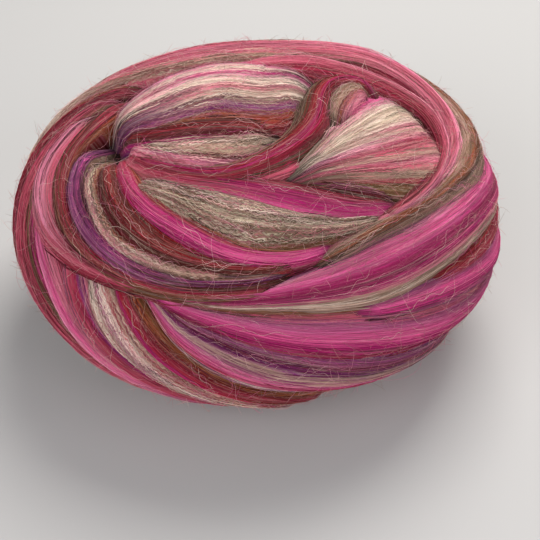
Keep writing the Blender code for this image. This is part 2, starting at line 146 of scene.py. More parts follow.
PASSES = [
    Pass("outer_left", 0, 5, 0.2,
         "raspberry 0, magenta .08, olive .17, taupe .21, raspberry .28, dusty_pink .42,"
         " raspberry .6, dusty_pink .8", None,
         ways((268, -42, 8), (252, -36, 14), (237, -26, 17), (223, -13, 18), (211, -2, 19),
              (202, 6, 19), (194, 14.5, 18), (186, 23.5, 17), (180, 30.5, 15), (174, 38, 13),
              (168, 44.5, 10), (162, 51, 7), (154, 58, 4))),
    Pass("rim_raspberry", 0, 3, 0.2,
         "wine 0, raspberry .2, raspberry .4, olive .55, rust .62, raspberry .75, raspberry 1", None,
         ways((254, -54, 5), (230, -45, 10), (210, -32, 16), (196, -17, 19), (186, -4, 19),
              (177.5, 8, 17), (169.5, 20, 15), (163.5, 31, 13), (160, 40, 12), (157, 48, 11),
              (153, 55.5, 9), (145, 62, 5))),
    Pass("rim_pale", 2, 4, 0.6,
         "taupe 0, beige .22, cream .38, cream .62, beige .78, rose 1",
         (0.62, "dusty_pink 0, taupe .2, beige .35, dusty_pink .5, rose .65, beige .8, dusty_pink 1"),
         ways((236, -60, 4, 3), (212, -50, 7, 2), (193, -36, 10, 1), (180, -20, 11), (171, -6, 11),
              (164.5, 8, 11), (159, 21, 11), (154.5, 32, 12), (151, 42, 11),
              (147, 51, 10), (138, 60, 11), (122, 65.5, 12), (100, 67.5, 12), (78, 66.5, 11),
              (60, 63.5, 8), (46, 59.5, 5, 4))),
    Pass("rim_pink", 1, 5, 0.2,
         "taupe 0, dusty_pink .2, rose .45, dusty_pink .65, light_pink .85, raspberry 1",
         (0.55, "raspberry 0, rose .2, dusty_pink .35, light_pink .6, rose .8, beige 1"),
         ways((172, -18, 4, 4), (162, -4, 8, 2), (154, 12, 11), (147, 30, 13), (137, 43.5, 15),
              (122, 51.5, 18), (105, 56.5, 19), (85, 59, 19, -1), (68, 58.5, 19, -3), (54, 54, 19, -5),
              (42, 48, 18, -6), (29, 42, 16, -5), (16, 38, 13, -3), (3, 37.2, 11, -1),
              (349, 39, 8), (335, 41, 6), (322, 41.7, 5), (308, 42.2, 4), (294, 40, 2))),
    Pass("back_turn", 1, 5, 0.3,
         "wine .1, raspberry .25, dusty_pink .4, rose .52, taupe .62, beige .7, dusty_pink .85", None,
         ways((168, 28, 5, 3), (151, 37, 12), (128, 44, 18), (104, 48.5, 21), (80, 49.5, 22),
              (58, 46, 20), (38, 39.5, 14), (20, 34, 7, 2), (6, 31, 4, 4))),
    Pass("rim_taupe", 2, 5, 0.5,
         "dusty_pink 0, taupe .2, beige .32, olive .42, rust .51, dark_taupe .6, taupe .7, taupe .8,"
         " beige .88, mauve 1", None,
         ways((118, 38, 4, 2), (96, 37.5, 7, 0), (74, 36, 10, -2), (50, 33, 14, -4), (28, 30, 17, -4),
              (10, 29.5, 19, -3), (354, 33, 17, -1), (341, 36.8, 12), (329, 39.2, 9),
              (315, 40.8, 8), (305, 40.8, 7), (297, 39.7, 7), (289, 37.6, 5),
              (279, 34.5, 3))),
    Pass("inner_turn", 2, 5, 0.25,
         "wine 0, raspberry .2, raspberry .33, dusty_pink .44, rose .58, light_pink .68, raspberry .8,"
         " mauve 1", None,
         ways((140, 72, 4, 7), (114, 74, 10, 4), (86, 73, 19, 1), (58, 68, 24), (38, 61.8, 21),
              (23, 53.5, 15), (11, 45.8, 11), (357, 42.6, 7.5), (344, 42.3, 6), (330, 42.4, 5.5),
              (316, 42.8, 5), (300, 43, 2))),
    Pass("left_hot_pink", 0, 5, 0.15,
         "olive 0, raspberry .15, hot_pink .3, light_pink .45, hot_pink .6, rose .75, raspberry 1",
         None,
         ways((192, 33, 4), (198, 28.5, 7), (204, 23.5, 9), (210, 19, 10), (216, 13.5, 11),
              (221, 7.5, 12), (226, 0, 12), (235, -11, 12), (248, -24, 10), (268, -38, 6))),
    Pass("left_red", -1, 5, 0.2,
         "raspberry 0, mauve .3, dusty_pink .5, raspberry .7, purple .85, rose 1", None,
         ways((208, 31, 4, 4), (214, 27, 7, 3), (219.5, 22, 9, 1), (224, 14.5, 11), (229, 6, 12),
              (234, -2, 13), (243, -13, 12), (256, -26, 10), (275, -38, 6))),
    Pass("cream_fan", 0, 6, 0.8,
         "rose 0, light_pink .06, beige .15, raspberry .24, cream .33, taupe .42, mauve .5, cream .6,"
         " raspberry .7, beige .8, taupe .88, dusty_pink 1", None,
         ways((217, 32, 4, 6), (223, 28.5, 8, 5), (228.5, 23.5, 12, 2), (232.5, 18, 15),
              (236.5, 11.5, 17), (241, 4.5, 16), (247, -4, 14), (256, -14, 12), (270, -26, 9),
              (290, -38, 5))),
    Pass("red_fall", -1, 5, 0.25,
         "wine 0, raspberry .2, magenta .33, red .5, raspberry .65, wine .78, rust .9, olive 1", None,
         ways((226, 31, 4, 6), (231, 27, 7, 5), (236, 23, 9, 2), (240, 18.5, 10), (244.5, 12, 11),
              (249, 5.5, 11), (255, -2, 11), (263, -12, 10), (276, -24, 8), (296, -36, 5))),
    Pass("mauve_fan", -1, 6, 0.4,
         "olive 0, purple .05, purple .11, mauve .14, cream .18, mauve .24, raspberry .32, hot_pink .39,"
         " mauve .47, beige .53, purple .6, wine .68, mauve .77, purple .86, raspberry 1", None,
         ways((235, 30.5, 4, 5), (240, 27, 6, 4), (246, 22.5, 9, 2), (252, 16.5, 14),
              (259, 10.5, 21), (268, 3.5, 27), (278, -3, 30), (292, -11, 28), (310, -19, 23),
              (332, -27, 16), (354, -33, 10), (18, -37, 4))),
    Pass("lower_magenta", 0, 6, 0.2,
         "wine 0, red .12, deep_magenta .25, magenta .4, hot_pink .52, orchid .64, mauve .75,"
         " dusty_pink .84, taupe .93, mauve 1", None,
         ways((236, 28, 3), (243, 26, 5), (252, 23.3, 7), (262, 20.5, 11), (272, 17, 15),
              (282, 13.5, 19), (292, 10, 22), (304, 5, 22), (318, -1, 20), (336, -8, 17),
              (354, -14, 13), (14, -19, 9), (34, -22, 4))),
    Pass("right_lower", 0, 6, 0.2,
         "dusty_pink 0, mauve .25, magenta .5, hot_pink .65, mauve .8, purple .9, wine 1", None,
         ways((286, 21, 3), (296, 18.5, 7), (304, 16.5, 11), (312, 14.5, 14), (320, 12, 17),
              (330, 7.5, 19), (342, 1.5, 20), (0, -5, 18), (20, -10, 14), (42, -13, 9),
              (64, -15, 4))),
    Pass("right_drop", -1, 6, 0.3,
         "mauve 0, dusty_pink .2, raspberry .45, red .65, raspberry .85, wine 1", None,
         ways((306, 20, 3), (317, 18, 7), (328, 16, 12), (338, 13.5, 17), (350, 11, 21),
              (8, 8, 22), (30, 5, 18), (54, 3, 13), (78, 1, 8), (98, 0, 4))),
    # The later dyes of left_pink run to wine and chocolate: wool colour and painted shade for the crease
    # under the ring.
    Pass("left_pink", 3, 6, 0.1,
         "raspberry 0, dusty_pink .12, rose .28, rose .42, light_pink .52, rose .64, dusty_pink .8, wine .97",
         (0.6, "wine 0, raspberry .3, dusty_pink .5, wine .72, chocolate .95"),
         ways((166, 54, 4), (175, 49.7, 8), (182.5, 42.7, 12), (187, 37.5, 15), (193, 33, 16),
              (200.5, 29.4, 16), (209, 27, 14.5), (216, 26, 12), (224, 25.6, 9), (232, 25.7, 7),
              (241, 26, 5), (252, 26.8, 3))),
    Pass("left_wine", 2.5, 4, 0.25,
         "raspberry 0, wine .25, olive .4, raspberry .6, raspberry .75, rust .85, wine 1", None,
         ways((160, 63, 5, 1), (171, 58.5, 9), (179, 53.5, 10.5), (186, 47.8, 10), (191.5, 43, 9.5),
              (200, 38, 9), (208, 34.5, 9), (216, 31.2, 8), (224, 29.2, 8), (232, 28, 8),
              (242, 27.3, 8), (254, 27.6, 7), (268, 29.5, 5), (282, 33, 3))),
    Pass("ring_purple", 3, 3, 0.3,
         "wine 0, purple .14, mauve .27, purple .4, mauve .53, purple .68, orchid .78, purple .87,"
         " taupe 1",
         (0.6, "wine 0, chocolate .3, wine .5, purple .65, taupe .85, wine 1"),
         ways((187, 56, 3, 8), (195, 51.3, 5, 3), (199.5, 46.3, 6.5), (204.5, 42, 7.5), (212, 38, 7.5),
              (222, 34.4, 7.5), (231, 32, 7.5), (240, 30.3, 7), (250, 29.8, 7), (260, 31, 6),
              (272, 33, 5), (284, 36, 3))),
    Pass("ring_cream", 3, 3, 1.0,
         "mauve 0, taupe .2, cream .32, rose .45, beige .55, dark_taupe .65, ecru .75, rust .9, wine 1",
         (0.62, "wine 0, taupe .25, chocolate .4, beige .52, taupe .62, wine .8, chocolate 1"),
         ways((193, 57, 3, 10), (201, 50.3, 4, 5), (210, 45.0, 4.2), (217.5, 41.0, 4.4), (225, 37.6, 4.8),
              (232, 35.4, 5), (240, 34.2, 5), (250, 33.3, 5), (260, 33.6, 4), (272, 34.8, 3))),
    Pass("sash", 2, 9, 0.25,
         "purple .02, purple .1, mauve .15, light_pink .2, orchid .25, hot_pink .3, orchid .36,"
         " magenta .42, deep_magenta .48, deep_magenta .55, magenta .6, rose .65, beige .69, taupe .72,"
         " cream .76, beige .79, taupe .82, olive .86, rust .91, wine .97", None,
         ways((124, 6, 4, 2), (104, 5, 8, 1), (78, 4, 13), (52, 4, 18), (27, 6, 20), (6, 13.5, 21),
              (350, 21.3, 23), (336, 26, 25), (320, 28.5, 27), (302, 28.9, 28), (288, 28.8, 21),
              (276, 28.4, 13), (266, 27.5, 9), (255, 26.4, 5), (243, 25.6, 3))),
    Pass("wine_slope", 1, 4, 0.35,
         "wine 0, red .18, wine .3, chocolate .42, wine .52, red .62, chocolate .74, red .86, wine 1",
         None,
         ways((191, 56.5, 4, 12), (200, 53, 7, 8), (209, 49.5, 11, 1), (219, 45.5, 14),
              (229, 42, 14.5), (238, 39.3, 14), (246, 37.5, 12.5), (256, 36.5, 10),
              (266, 36, 8), (277, 37, 6), (290, 40, 3))),
    Pass("magenta_crescent", 1, 5, 0.2, "wine 0, raspberry .3, red .6, rust 1",
         (0.24, "wine 0, deep_magenta .2, magenta .34, hot_pink .5, magenta .66, rust .82, olive .92"),
         ways((190, 57, 4, 13), (200, 55, 6, 9), (209, 53.8, 8.5, 3), (218, 52, 10.5),
              (227, 49.6, 11.5), (236, 47.6, 12), (244, 46, 12), (252, 43.9, 12.5), (260, 41.4, 12),
              (268, 39.6, 10.5), (276, 38.8, 9.5), (284, 39.2, 8), (292, 40.7, 6), (300, 42.3, 3))),
    Pass("taupe_lock", 2, 6, 1.0,
         "rust 0, olive .12, olive .19, dark_taupe .26, ecru .31, dark_taupe .36, taupe .42,"
         " dark_taupe .47, ecru .52, dark_taupe .58, taupe .64, dark_taupe .7, cream .75, dark_taupe .82,"
         " ecru .9", None,
         ways((207, 53.5, 3, 12), (217, 52, 5, 7), (225, 52, 8.5, 2), (232, 52.6, 12),
              (241, 52.8, 15), (250, 51.8, 18.5), (259, 50, 21), (268, 48.8, 21), (278, 47.4, 18.5),
              (288, 46, 14), (296, 44.6, 10), (305, 43.6, 6), (318, 43, 3))),
    Pass("upper_magenta", 1, 4, 0.25,
         "olive 0, dusty_pink .25, raspberry .5, wine .75, raspberry 1",
         (0.45, "cream 0, hot_pink .12, magenta .35, deep_magenta .6, raspberry .8, chocolate 1"),
         ways((191, 57, 4, 13), (202, 55.8, 6, 8), (213, 56, 9, 1), (227, 57.4, 10), (242, 59, 9.5),
              (255, 59.7, 9), (268, 59, 10), (280, 56.8, 12), (290, 53.8, 13), (298, 50.6, 12),
              (306, 47.6, 9), (315, 45, 6), (326, 43, 3))),
    # fan_shade's dark dyes are partly brown wool and partly painted shade for the crease under the fan.
    Pass("fan_shade", 0, 4, 0.4, "deep_magenta 0, chocolate .3, wine .55, mauve .8, beige 1", None,
         ways((278, 61, 3), (290, 59, 7), (300, 55.3, 9), (309, 50.8, 10), (317, 46.3, 9),
              (325, 41.5, 6))),
    Pass("fan", 4, 10, 0.5,
         "olive .17, raspberry .2, beige .235, taupe .265, dusty_pink .3, rose .335, beige .37,"
         " dusty_pink .405, rose .44, light_pink .475, cream .51, beige .545, cream .58, ecru .61,"
         " cream .64, beige .67, cream .7, beige .74, taupe .77, cream .8, taupe .84",
         (0.5, "olive .17, raspberry .2, taupe .235, beige .265, dusty_pink .3, rose .335, beige .37,"
          " dusty_pink .405, raspberry .44, rose .475, beige .51, rose .545, cream .58, ecru .61,"
          " cream .635, ecru .66, cream .7, light_pink .735, hot_pink .765, hot_pink .8, rose .83"),
         ways((276, 60, 4), (287, 60.8, 9), (297, 61.6, 17), (308, 61.8, 28), (320, 61, 41),
              (333, 58.5, 54), (345, 54.5, 64), (353, 50.2, 68, 1), (358, 45, 67, 4),
              (1, 38.5, 55, 9))),
    Pass("brown_fold", 0, 4, 0.4, "raspberry 0, wine .3, chocolate .55, rust .8, taupe 1", None,
         ways((210, 60, 3), (220, 62, 6), (232, 65, 8), (247, 67.3, 9), (266, 68.3, 9),
              (281, 69.8, 6), (296, 72, 3))),
    Pass("blush_streak", 1, 4, 0.6,
         "raspberry 0, dusty_pink .25, rose .4, mauve .5, rose .65, cream .75, rose .9", None,
         ways((189, 57.5, 4, 12), (199, 57.3, 6, 8), (208, 58.3, 8, 1), (218, 60.5, 9), (232, 62.5, 10),
              (247, 64, 10), (262, 65.2, 9), (276, 67.3, 7, 2), (290, 70.3, 5, 5))),
    Pass("cream_streak", 1, 3, 1.0,
         "rose 0, beige .12, taupe .22, ecru .32, taupe .4, beige .5, taupe .6, cream .68, rose .76,"
         " ecru .85, dusty_pink 1", None,
         ways((195, 57.5, 3, 9), (203, 58.4, 5, 4), (211, 60.3, 8), (220, 62.8, 11), (231, 66.3, 13),
              (247, 70, 13), (265, 72, 13), (286, 73.8, 11), (308, 76.8, 6))),
    Pass("red_arc", 1, 4, 0.2,
         "purple 0, magenta .16, wine .28, wine .42, red .52, wine .64, chocolate .74, rust .82,"
         " olive .9, mauve 1", None,
         ways((186, 54, 4, 10), (194, 55.5, 7, 5), (201, 59, 10, 0.5), (208, 64, 12), (217, 70, 13),
              (236, 75.2, 14), (264, 77.2, 14), (290, 77.3, 12), (312, 78.5, 6))),
    Pass("under_hook", 1, 4, 0.2, "wine 0, dusty_pink .3, raspberry .5, wine .7, mauve 1", None,
         ways((236, 60.6, 3, 5), (248, 61.2, 6, 1), (262, 62, 8), (276, 63.6, 10), (290, 66, 10),
              (304, 68.5, 7, 3), (316, 70, 4, 6))),
    Pass("dome", 3, 8, 0.7,
         "rust 0, rust .2, purple .25, purple .4, olive .44, cream .48, rose .53, cream .57,"
         " beige .61, light_pink .65, cream .69, purple .76, wine .82",
         (0.3, "raspberry 0, red .12, rust .17, purple .21, mauve .26, taupe .29, cream .33, beige .37,"
          " rose .41, cream .47, cream .52, light_pink .57, magenta .62, hot_pink .65, cream .69, cream .75,"
          " light_pink .79, mauve .84"),
         ways((194, 47, 3, 12), (192.5, 52, 9, 8), (190.5, 57, 17, 2), (187.5, 61.5, 29),
              (183, 66.5, 39), (174, 72, 46), (160, 77.5, 49), (140, 83, 50), (70, 87, 49),
              (25, 82, 43), (12, 76, 31, 1), (7, 71, 18, 6))),
    Pass("hook_inner", 5, 6, 0.5,
         "hot_pink 0, rose .22, rose .36, rust .46, beige .58, olive .72, dark_taupe .88, wine 1", None,
         ways((318, 65, 4, 5), (327, 68.6, 9), (340, 70.8, 13), (355, 70.4, 15), (7, 68, 15),
              (11, 64.6, 13), (7, 61.3, 9, 2), (359, 59.5, 5, 5))),
    Pass("hook", 5, 8, 0.25,
         "olive 0, dark_taupe .12, raspberry .24, red .36, magenta .45, raspberry .53, red .66,"
         " dark_taupe .77, olive .87, taupe 1",
         None,
         ways((202, 54.5, 3, 11), (213, 56.8, 4.5, 4), (226, 58.8, 5, 3.5), (240, 60.2, 5.5, 3),
              (254, 61.5, 6.5, 2), (266, 63.8, 7.5, 1), (278, 66.4, 9), (291, 69, 10.5),
              (305, 71.4, 12), (322, 73.8, 13), (343, 75.8, 12.5), (6, 74.8, 11.5), (18, 70.5, 11.5),
              (19, 65.5, 12), (9, 61.6, 9), (357, 59.7, 5, 4))),
]
print(len(PASSES), "passes over the ball")

# %% [markdown]
# ## The turns under them
# Round the back, the sides and the underside the rope simply climbs, turn on turn. These turns
# need no table, only their dyes. Each is a little more than one full circle that rises as it goes,
# most of all at the back, wavers a little, and lies deeper where the passes at the front cover it.

# %% The hidden winding
WIND_FROM, WIND_TO = -74, 34
WIND_WIDTH = 25
WIND_LIFT, WIND_CREASE, WIND_CRIMP = -1.5, 6, 0.3
WIND_START = 290
WIND_STEPS = 12
WIND_WOBBLE, WIND_PHASE = 4, 130
BACK_BEARING, BACK_RISE = 80, 14
COVERED_BEARING, COVERED_SINK = 255, 7
COVERED_FROM = -40
WIND_DYES = [
    "raspberry 0, wine .3, mauve .6, dusty_pink 1",
    "wine 0, dusty_pink .25, rose .45, raspberry .6, mauve .8, purple 1",
    "purple .1, mauve .25, raspberry .4, rust .5, taupe .6, dusty_pink .75, raspberry .9",
    "raspberry .1, dusty_pink .25, hot_pink .4, magenta .5, raspberry .65, mauve .8, wine .95",
    "raspberry .1, taupe .25, beige .35, cream .45, rose .55, dusty_pink .7, raspberry .85",
    "wine .1, mauve .25, purple .35, mauve .45, magenta .6, hot_pink .72, rose .85, taupe 1",
    "rust .1, raspberry .25, dusty_pink .4, rose .5, beige .6, taupe .7, dusty_pink .85, wine 1",
    "taupe .1, dusty_pink .25, light_pink .4, rose .55, raspberry .7, olive .8, wine .95",
]


def facing(bearing, toward):
    """1 where a bearing points the given way, falling to 0 at its sides and behind."""
    return max(math.cos(math.radians(bearing - toward)), 0)


def winding_turn(number):
    """The ways of one turn, from a step before its start to a step past its end."""
    rows = []
    for step in range(-1, WIND_STEPS + 2):
        share = (number * WIND_STEPS + step) / (len(WIND_DYES) * WIND_STEPS)
        share = min(max(share, 0), 1)
        bearing = WIND_START + 360 * number + 360 / WIND_STEPS * step
        latitude = WIND_FROM + (WIND_TO - WIND_FROM) * share
        latitude += WIND_WOBBLE * math.sin(math.radians(bearing + WIND_PHASE * number))
        latitude += BACK_RISE * facing(bearing, BACK_BEARING) * share ** 2
        covered = facing(bearing, COVERED_BEARING)
        covered *= min(max((latitude - COVERED_FROM) / -COVERED_FROM, 0), 1)
        rows.append(Way(bearing, latitude, WIND_WIDTH, COVERED_SINK * covered ** 0.5))
    return rows


for number, text in enumerate(WIND_DYES):
    PASSES.append(Pass(f"turn_{number + 1}", WIND_LIFT, WIND_CREASE, WIND_CRIMP, text, None,
                       winding_turn(number)))
print(len(PASSES), "passes and turns")

# %% [markdown]
# ## A pass as a surface
# A pass is a soft rounded band. Its middle line runs smoothly through its ways, and at even steps
# along that line a rounded section is laid across it, bent to the curve of the ball, high in the
# middle and low at both edges, so that neighbours meet in a crease. At both ends the band sinks
# and goes under. Numpy works out all points of a band at once. Each point also keeps where it lies
# in the wool, across and along, for the shader and for the fibres that are laid on it later.

# %% Places on the ball
MIDDLE = np.array([0, 0, WIDEST_HEIGHT])
NARROWEST = 1.5 * MM
FINE_STEPS = 40
FEWEST_STATIONS = 10


def direction(bearing, latitude):
    b = math.radians(bearing)
    c = math.radians(latitude)
    return np.array([math.cos(c) * math.cos(b), math.cos(c) * math.sin(b), math.sin(c)])


def radii_at(dirs):
    """The three half sizes of the ball for each direction: it is rounder above than below."""
    rise = np.where(dirs[:, 2] >= 0, CAP_RISE, BELLY_DROP)
    return np.stack([np.full(len(dirs), HALF_LENGTH), np.full(len(dirs), HALF_DEPTH), rise], 1)


def unit(rows):
    return rows / np.linalg.norm(rows, axis=1, keepdims=True)


def surface(dirs):
    """Points of the ball in the given directions, and which way is out there."""
    radii = radii_at(dirs)
    return dirs * radii + MIDDLE, unit(dirs / radii)


def to_direction(points):
    return unit((points - MIDDLE) / radii_at(points - MIDDLE))


def through(keys, at):
    """A smooth curve through evenly numbered rows of keys."""
    padded = np.vstack([2 * keys[0] - keys[1], keys, 2 * keys[-1] - keys[-2]])
    i = np.minimum(at.astype(int), len(keys) - 2)
    f = (at - i)[:, None]
    a, b, c, d = padded[i], padded[i + 1], padded[i + 2], padded[i + 3]
    return 0.5 * (2 * b + (c - a) * f + (2 * a - 5 * b + 4 * c - d) * f ** 2
                  + (3 * b - a - 3 * c + d) * f ** 3)


def centre_line(rows, step):
    """Directions, widths, sinks and distance travelled along a pass, at even steps."""
    keys = np.array([[*direction(r.bearing, r.latitude), r.width * MM, r.sink * MM] for r in rows])
    fine = through(keys, np.linspace(0, len(keys) - 1.0001, FINE_STEPS * len(keys)))
    fine[:, :3] = unit(fine[:, :3])
    points, _ = surface(fine[:, :3])
    travel = np.append(0, np.cumsum(np.linalg.norm(np.diff(points, axis=0), axis=1)))
    stations = np.linspace(0, travel[-1], max(FEWEST_STATIONS, int(travel[-1] / step)))
    out = np.stack([np.interp(stations, travel, column) for column in fine.T], 1)
    return unit(out[:, :3]), np.maximum(out[:, 3], NARROWEST), out[:, 4], stations


def end_dip(stations):
    """How far a pass sinks near both its ends: nothing along the middle, END_DIVE at the tips."""
    to_end = np.minimum(stations, stations[-1] - stations)
    near = np.clip(1 - to_end / END_REACH, 0, 1)
    return END_DIVE * near * near * (3 - 2 * near)


# %% Ridges along the wool
RIDGES = ((2.5, 0.5), (4.5, 0.35), (8.0, 0.22))      # waves across and their weight
DRIFTS = ((0.8, 0.045), (0.5, 0.021))                # how far they drift, over how many metres
RIDGE_SHARE = 0.035
LEAST_RIDGE, MOST_RIDGE = 0.1 * MM, 0.9 * MM


def ridges(rng, across, along):
    """Slow random folds that run with the fibres, about -1 to 1, for every point of a band."""
    total = np.zeros((len(across), len(along)))
    for waves, weight in RIDGES:
        phase = rng.uniform(0, 2 * math.pi, 3)
        drift = sum(far * np.sin(along / slow + start) for (far, slow), start in zip(DRIFTS, phase))
        total += weight * np.sin(waves * math.pi * across[:, None] + phase[2] + drift[None, :])
    return total


# %% A band
STEPS_ACROSS = 18
STEP_ALONG = 3.0 * MM
DEEPEST_SHARE = 0.45
CROWN_POWER = 0.9
PLAIN_TINT = 0.5
UNDER_CHART = [1.4, 1.7, 2.0]               # where the chart keeps the underside, ends and closing
END_CHART, CLOSING_CHART = (3, 0), (2.4, 0)


def cross_sections(item, seed, across):
    """Points over a pass at the given places across (-1 to 1 is its wool) and at even stations."""
    rng = np.random.default_rng(seed)
    dirs, widths, sinks, stations = centre_line(item.ways, STEP_ALONG)
    widths = widths * OVERLAP
    points, normals = surface(dirs)
    sides = unit(np.cross(normals, np.gradient(points, axis=0)))
    dip = sinks + end_dip(stations)
    depth = np.minimum(item.crease * MM, DEEPEST_SHARE * widths)
    fold = ridges(rng, across, stations) * (RIDGE_SHARE * widths).clip(LEAST_RIDGE, MOST_RIDGE)
    tops, under = [], []
    for j, u in enumerate(across):
        spread, out = surface(to_direction(points + sides * (u * widths / 2)[:, None]))
        crown = max(math.cos(min(abs(u), 1) * math.pi / 2), 0.0) ** CROWN_POWER
        height = item.lift * MM - depth * (1 - crown) - dip + fold[j] * crown ** 0.5
        tops.append(spread + out * height[:, None])
        under.append(spread - out * ROOT_DEPTH)
    return np.array(tops), np.array(under), stations, widths


def add_object(name, data):
    made = bpy.data.objects.new(name, data)
    bpy.context.collection.objects.link(made)
    return made


def corners_of(mesh):
    """The point number of every face corner."""
    loops = np.zeros(len(mesh.loops), dtype=np.int32)
    mesh.loops.foreach_get("vertex_index", loops)
    return loops


def keep_lay(mesh, place):
    """Keep where each point lies in the wool: across, millimetres along, and its tint."""
    mesh.attributes.new("lay", "FLOAT_VECTOR", "POINT").data.foreach_set("vector", place.reshape(-1))


def band(item, seed):
    """One pass as a mesh object, its points marked with where they lie in the wool."""
    across = np.sin(np.linspace(-1, 1, STEPS_ACROSS + 1) * math.pi / 2)
    tops, under, stations, widths = cross_sections(item, seed, across)
    grid = np.concatenate([tops, under[[STEPS_ACROSS, STEPS_ACROSS // 2, 0]]])
    grid[:, :, 2] = np.maximum(grid[:, :, 2], 0.0)
    rows, length = grid.shape[:2]

    def index(j, k):
        return (j % rows) * length + k

    faces = [(index(j, k), index(j, k + 1), index(j + 1, k + 1), index(j + 1, k))
             for j in range(rows) for k in range(length - 1)]
    faces.append(tuple(index(j, 0) for j in range(rows)))
    faces.append(tuple(index(j, length - 1) for j in reversed(range(rows))))
    mesh = bpy.data.meshes.new(item.name)
    mesh.from_pydata(grid.reshape(-1, 3), [], faces)

    place = np.full((rows, length, 3), PLAIN_TINT)
    place[:, :, 0] = np.append((across + 1) / 2, [1, 0.5, 0])[:, None]
    place[:, :, 1] = stations[None, :] / MM
    keep_lay(mesh, place)

    # The chart unrolls the band: its wool in the first square, its underside and ends beside it.
    chart = mesh.uv_layers.new(name="chart")
    loops = corners_of(mesh)
    across_of = np.append(np.linspace(0, 1, STEPS_ACROSS + 1), UNDER_CHART)
    uv = np.stack([across_of[loops // length], (loops % length) / (length - 1)], 1)
    sizes = [len(f) for f in faces]
    capped = np.repeat([size > 4 for size in sizes], sizes)
    uv[capped] += END_CHART
    closing = np.repeat([min(f) < length and max(f) >= (rows - 1) * length for f in faces], sizes)
    uv[closing & ~capped & (uv[:, 0] < 0.5)] += CLOSING_CHART
    chart.data.foreach_set("uv", uv.reshape(-1))
    mesh.shade_smooth()
    return add_object(item.name, mesh), stations[-1], widths.max()


# %% [markdown]
# ## Sums in node trees
# Both the shader and the fibres are built of nodes, and most of those are sums. A Field stands
# for an output of a node, so that a sum on it can be written as a sum; each makes a Math node.

# %% Small helpers for node trees
def give(node, given):
    """Set or link the inputs of a node, by name or number."""
    for key, value in given.items():
        if isinstance(value, Field):
            value = value.socket
        if isinstance(value, bpy.types.NodeSocket):
            node.id_data.links.new(value, node.inputs[key])
        else:
            node.inputs[key].default_value = value


def add_node(tree, kind, given=None, **settings):
    """A new node with its settings made and its inputs given."""
    node = tree.nodes.new(kind)
    for key, value in settings.items():
        setattr(node, key, value)
    give(node, given or {})
    return node


class Field:
    """An output of a node, that sums can be made with."""

    def __init__(self, socket):
        self.socket = socket

    def maths(self, operation, *others, clamp=False):
        return sum_of(self, operation, self, *others, clamp=clamp)

    def __add__(self, other):
        return self.maths("ADD", other)

    def __sub__(self, other):
        return self.maths("SUBTRACT", other)

    def __mul__(self, other):
        return self.maths("MULTIPLY", other)

    def __truediv__(self, other):
        return self.maths("DIVIDE", other)

    def __pow__(self, other):
        return self.maths("POWER", other)

    def __abs__(self):
        return self.maths("ABSOLUTE")

    def taken_from(self, whole):
        return sum_of(self, "SUBTRACT", whole, self)

    def times_plus(self, factor, more, clamp=False):
        return self.maths("MULTIPLY_ADD", factor, more, clamp=clamp)

    def between(self, low, high):
        return self.maths("MAXIMUM", low).maths("MINIMUM", high)


def sum_of(field, operation, *values, clamp=False):
    """A Math node in the tree of a field."""
    node = add_node(field.socket.id_data, "ShaderNodeMath", dict(enumerate(values)),
                    operation=operation, use_clamp=clamp)
    return Field(node.outputs[0])


def fields(node, *names):
    """Outputs of a node as Fields: those named, or all of them."""
    return [Field(node.outputs[name]) for name in names] or [Field(out) for out in node.outputs]


def scaled(tree, way, factor):
    """A vector or colour times a factor."""
    return add_node(tree, "ShaderNodeVectorMath", {0: way, "Scale": factor},
                    operation="SCALE").outputs[0]


def add_inputs(tree, **sizes):
    """Named whole-number and decimal inputs on a tree."""
    for name, value in sizes.items():
        kind = "NodeSocketInt" if isinstance(value, int) else "NodeSocketFloat"
        tree.interface.new_socket(name, in_out="INPUT", socket_type=kind).default_value = value

# %% [markdown]
# ## How wool takes the light
# Close up, roving is thousands of hairs side by side. One node group, shared by every pass, turns
# a place in the wool into what the eye sees there: a wavering position across the rope, so that
# neighbouring dyes feather into each other hair by hair; a light or dark streak for each hair; a
# scatter of hairs of other colours and a haze of curly ones; and a height for the bump. It reads
# noise that is drawn out along the wool. Where the wool is crimped, the streaks wave from side to
# side every few millimetres.

# %% The wool group
Grain = namedtuple("Grain", "wide long lot detail")
GRAINS = {                                  # mm across, mm along, where it starts, how detailed
    "sway": Grain(7.0, 55.0, 0.0, 0), "wander": Grain(1.8, 14.0, 3.0, 1),
    "coarse": Grain(1.7, 55.0, 7.0, 1), "medium": Grain(0.62, 32.0, 11.0, 2),
    "fine": Grain(0.27, 16.0, 17.0, 1), "stray": Grain(0.42, 22.0, 23.0, 1),
    "kind": Grain(0.9, 60.0, 31.0, 0),
}
FRIZZ = ((Grain(1.9, 7.0, 41.0, 2), 34.0), (Grain(2.8, 4.6, 42.0, 2), 44.0),
         (Grain(1.3, 11.0, 43.0, 2), 26.0))         # and how thin its lines are
GRAIN_ROUGHNESS = 0.6
SWAY_REACH = 5.0                            # mm that whole locks sway
CRIMP_REACH = 0.42                          # mm that fully crimped hairs wave
CRIMP_TURN, CRIMP_WANDER = 1.25, 17.0       # radians for a mm along, and how unevenly
SLANT = 0.05                                # how askew the odd hairs lie
PULL_COARSE, PULL_MEDIUM, PULL_FINE, PULL_TINT = 1.2, 2.4, 1.6, 1.4     # how dyes feather
STREAK_FINE, STREAK_MEDIUM, STREAK_TINT = 1.5, 0.9, 0.7                 # how light and dark
STREAK_SILKY, STREAK_CRIMPED = 0.55, 0.8
DARKEST, LIGHTEST = 0.15, 1.5
ODD_ABOVE, ODD_STEEP, KIND_SPREAD = 0.56, 9.0, 2.2
HEIGHT_COARSE, HEIGHT_FINE, HEIGHT_FRIZZ = 1.2, 0.5, 0.25


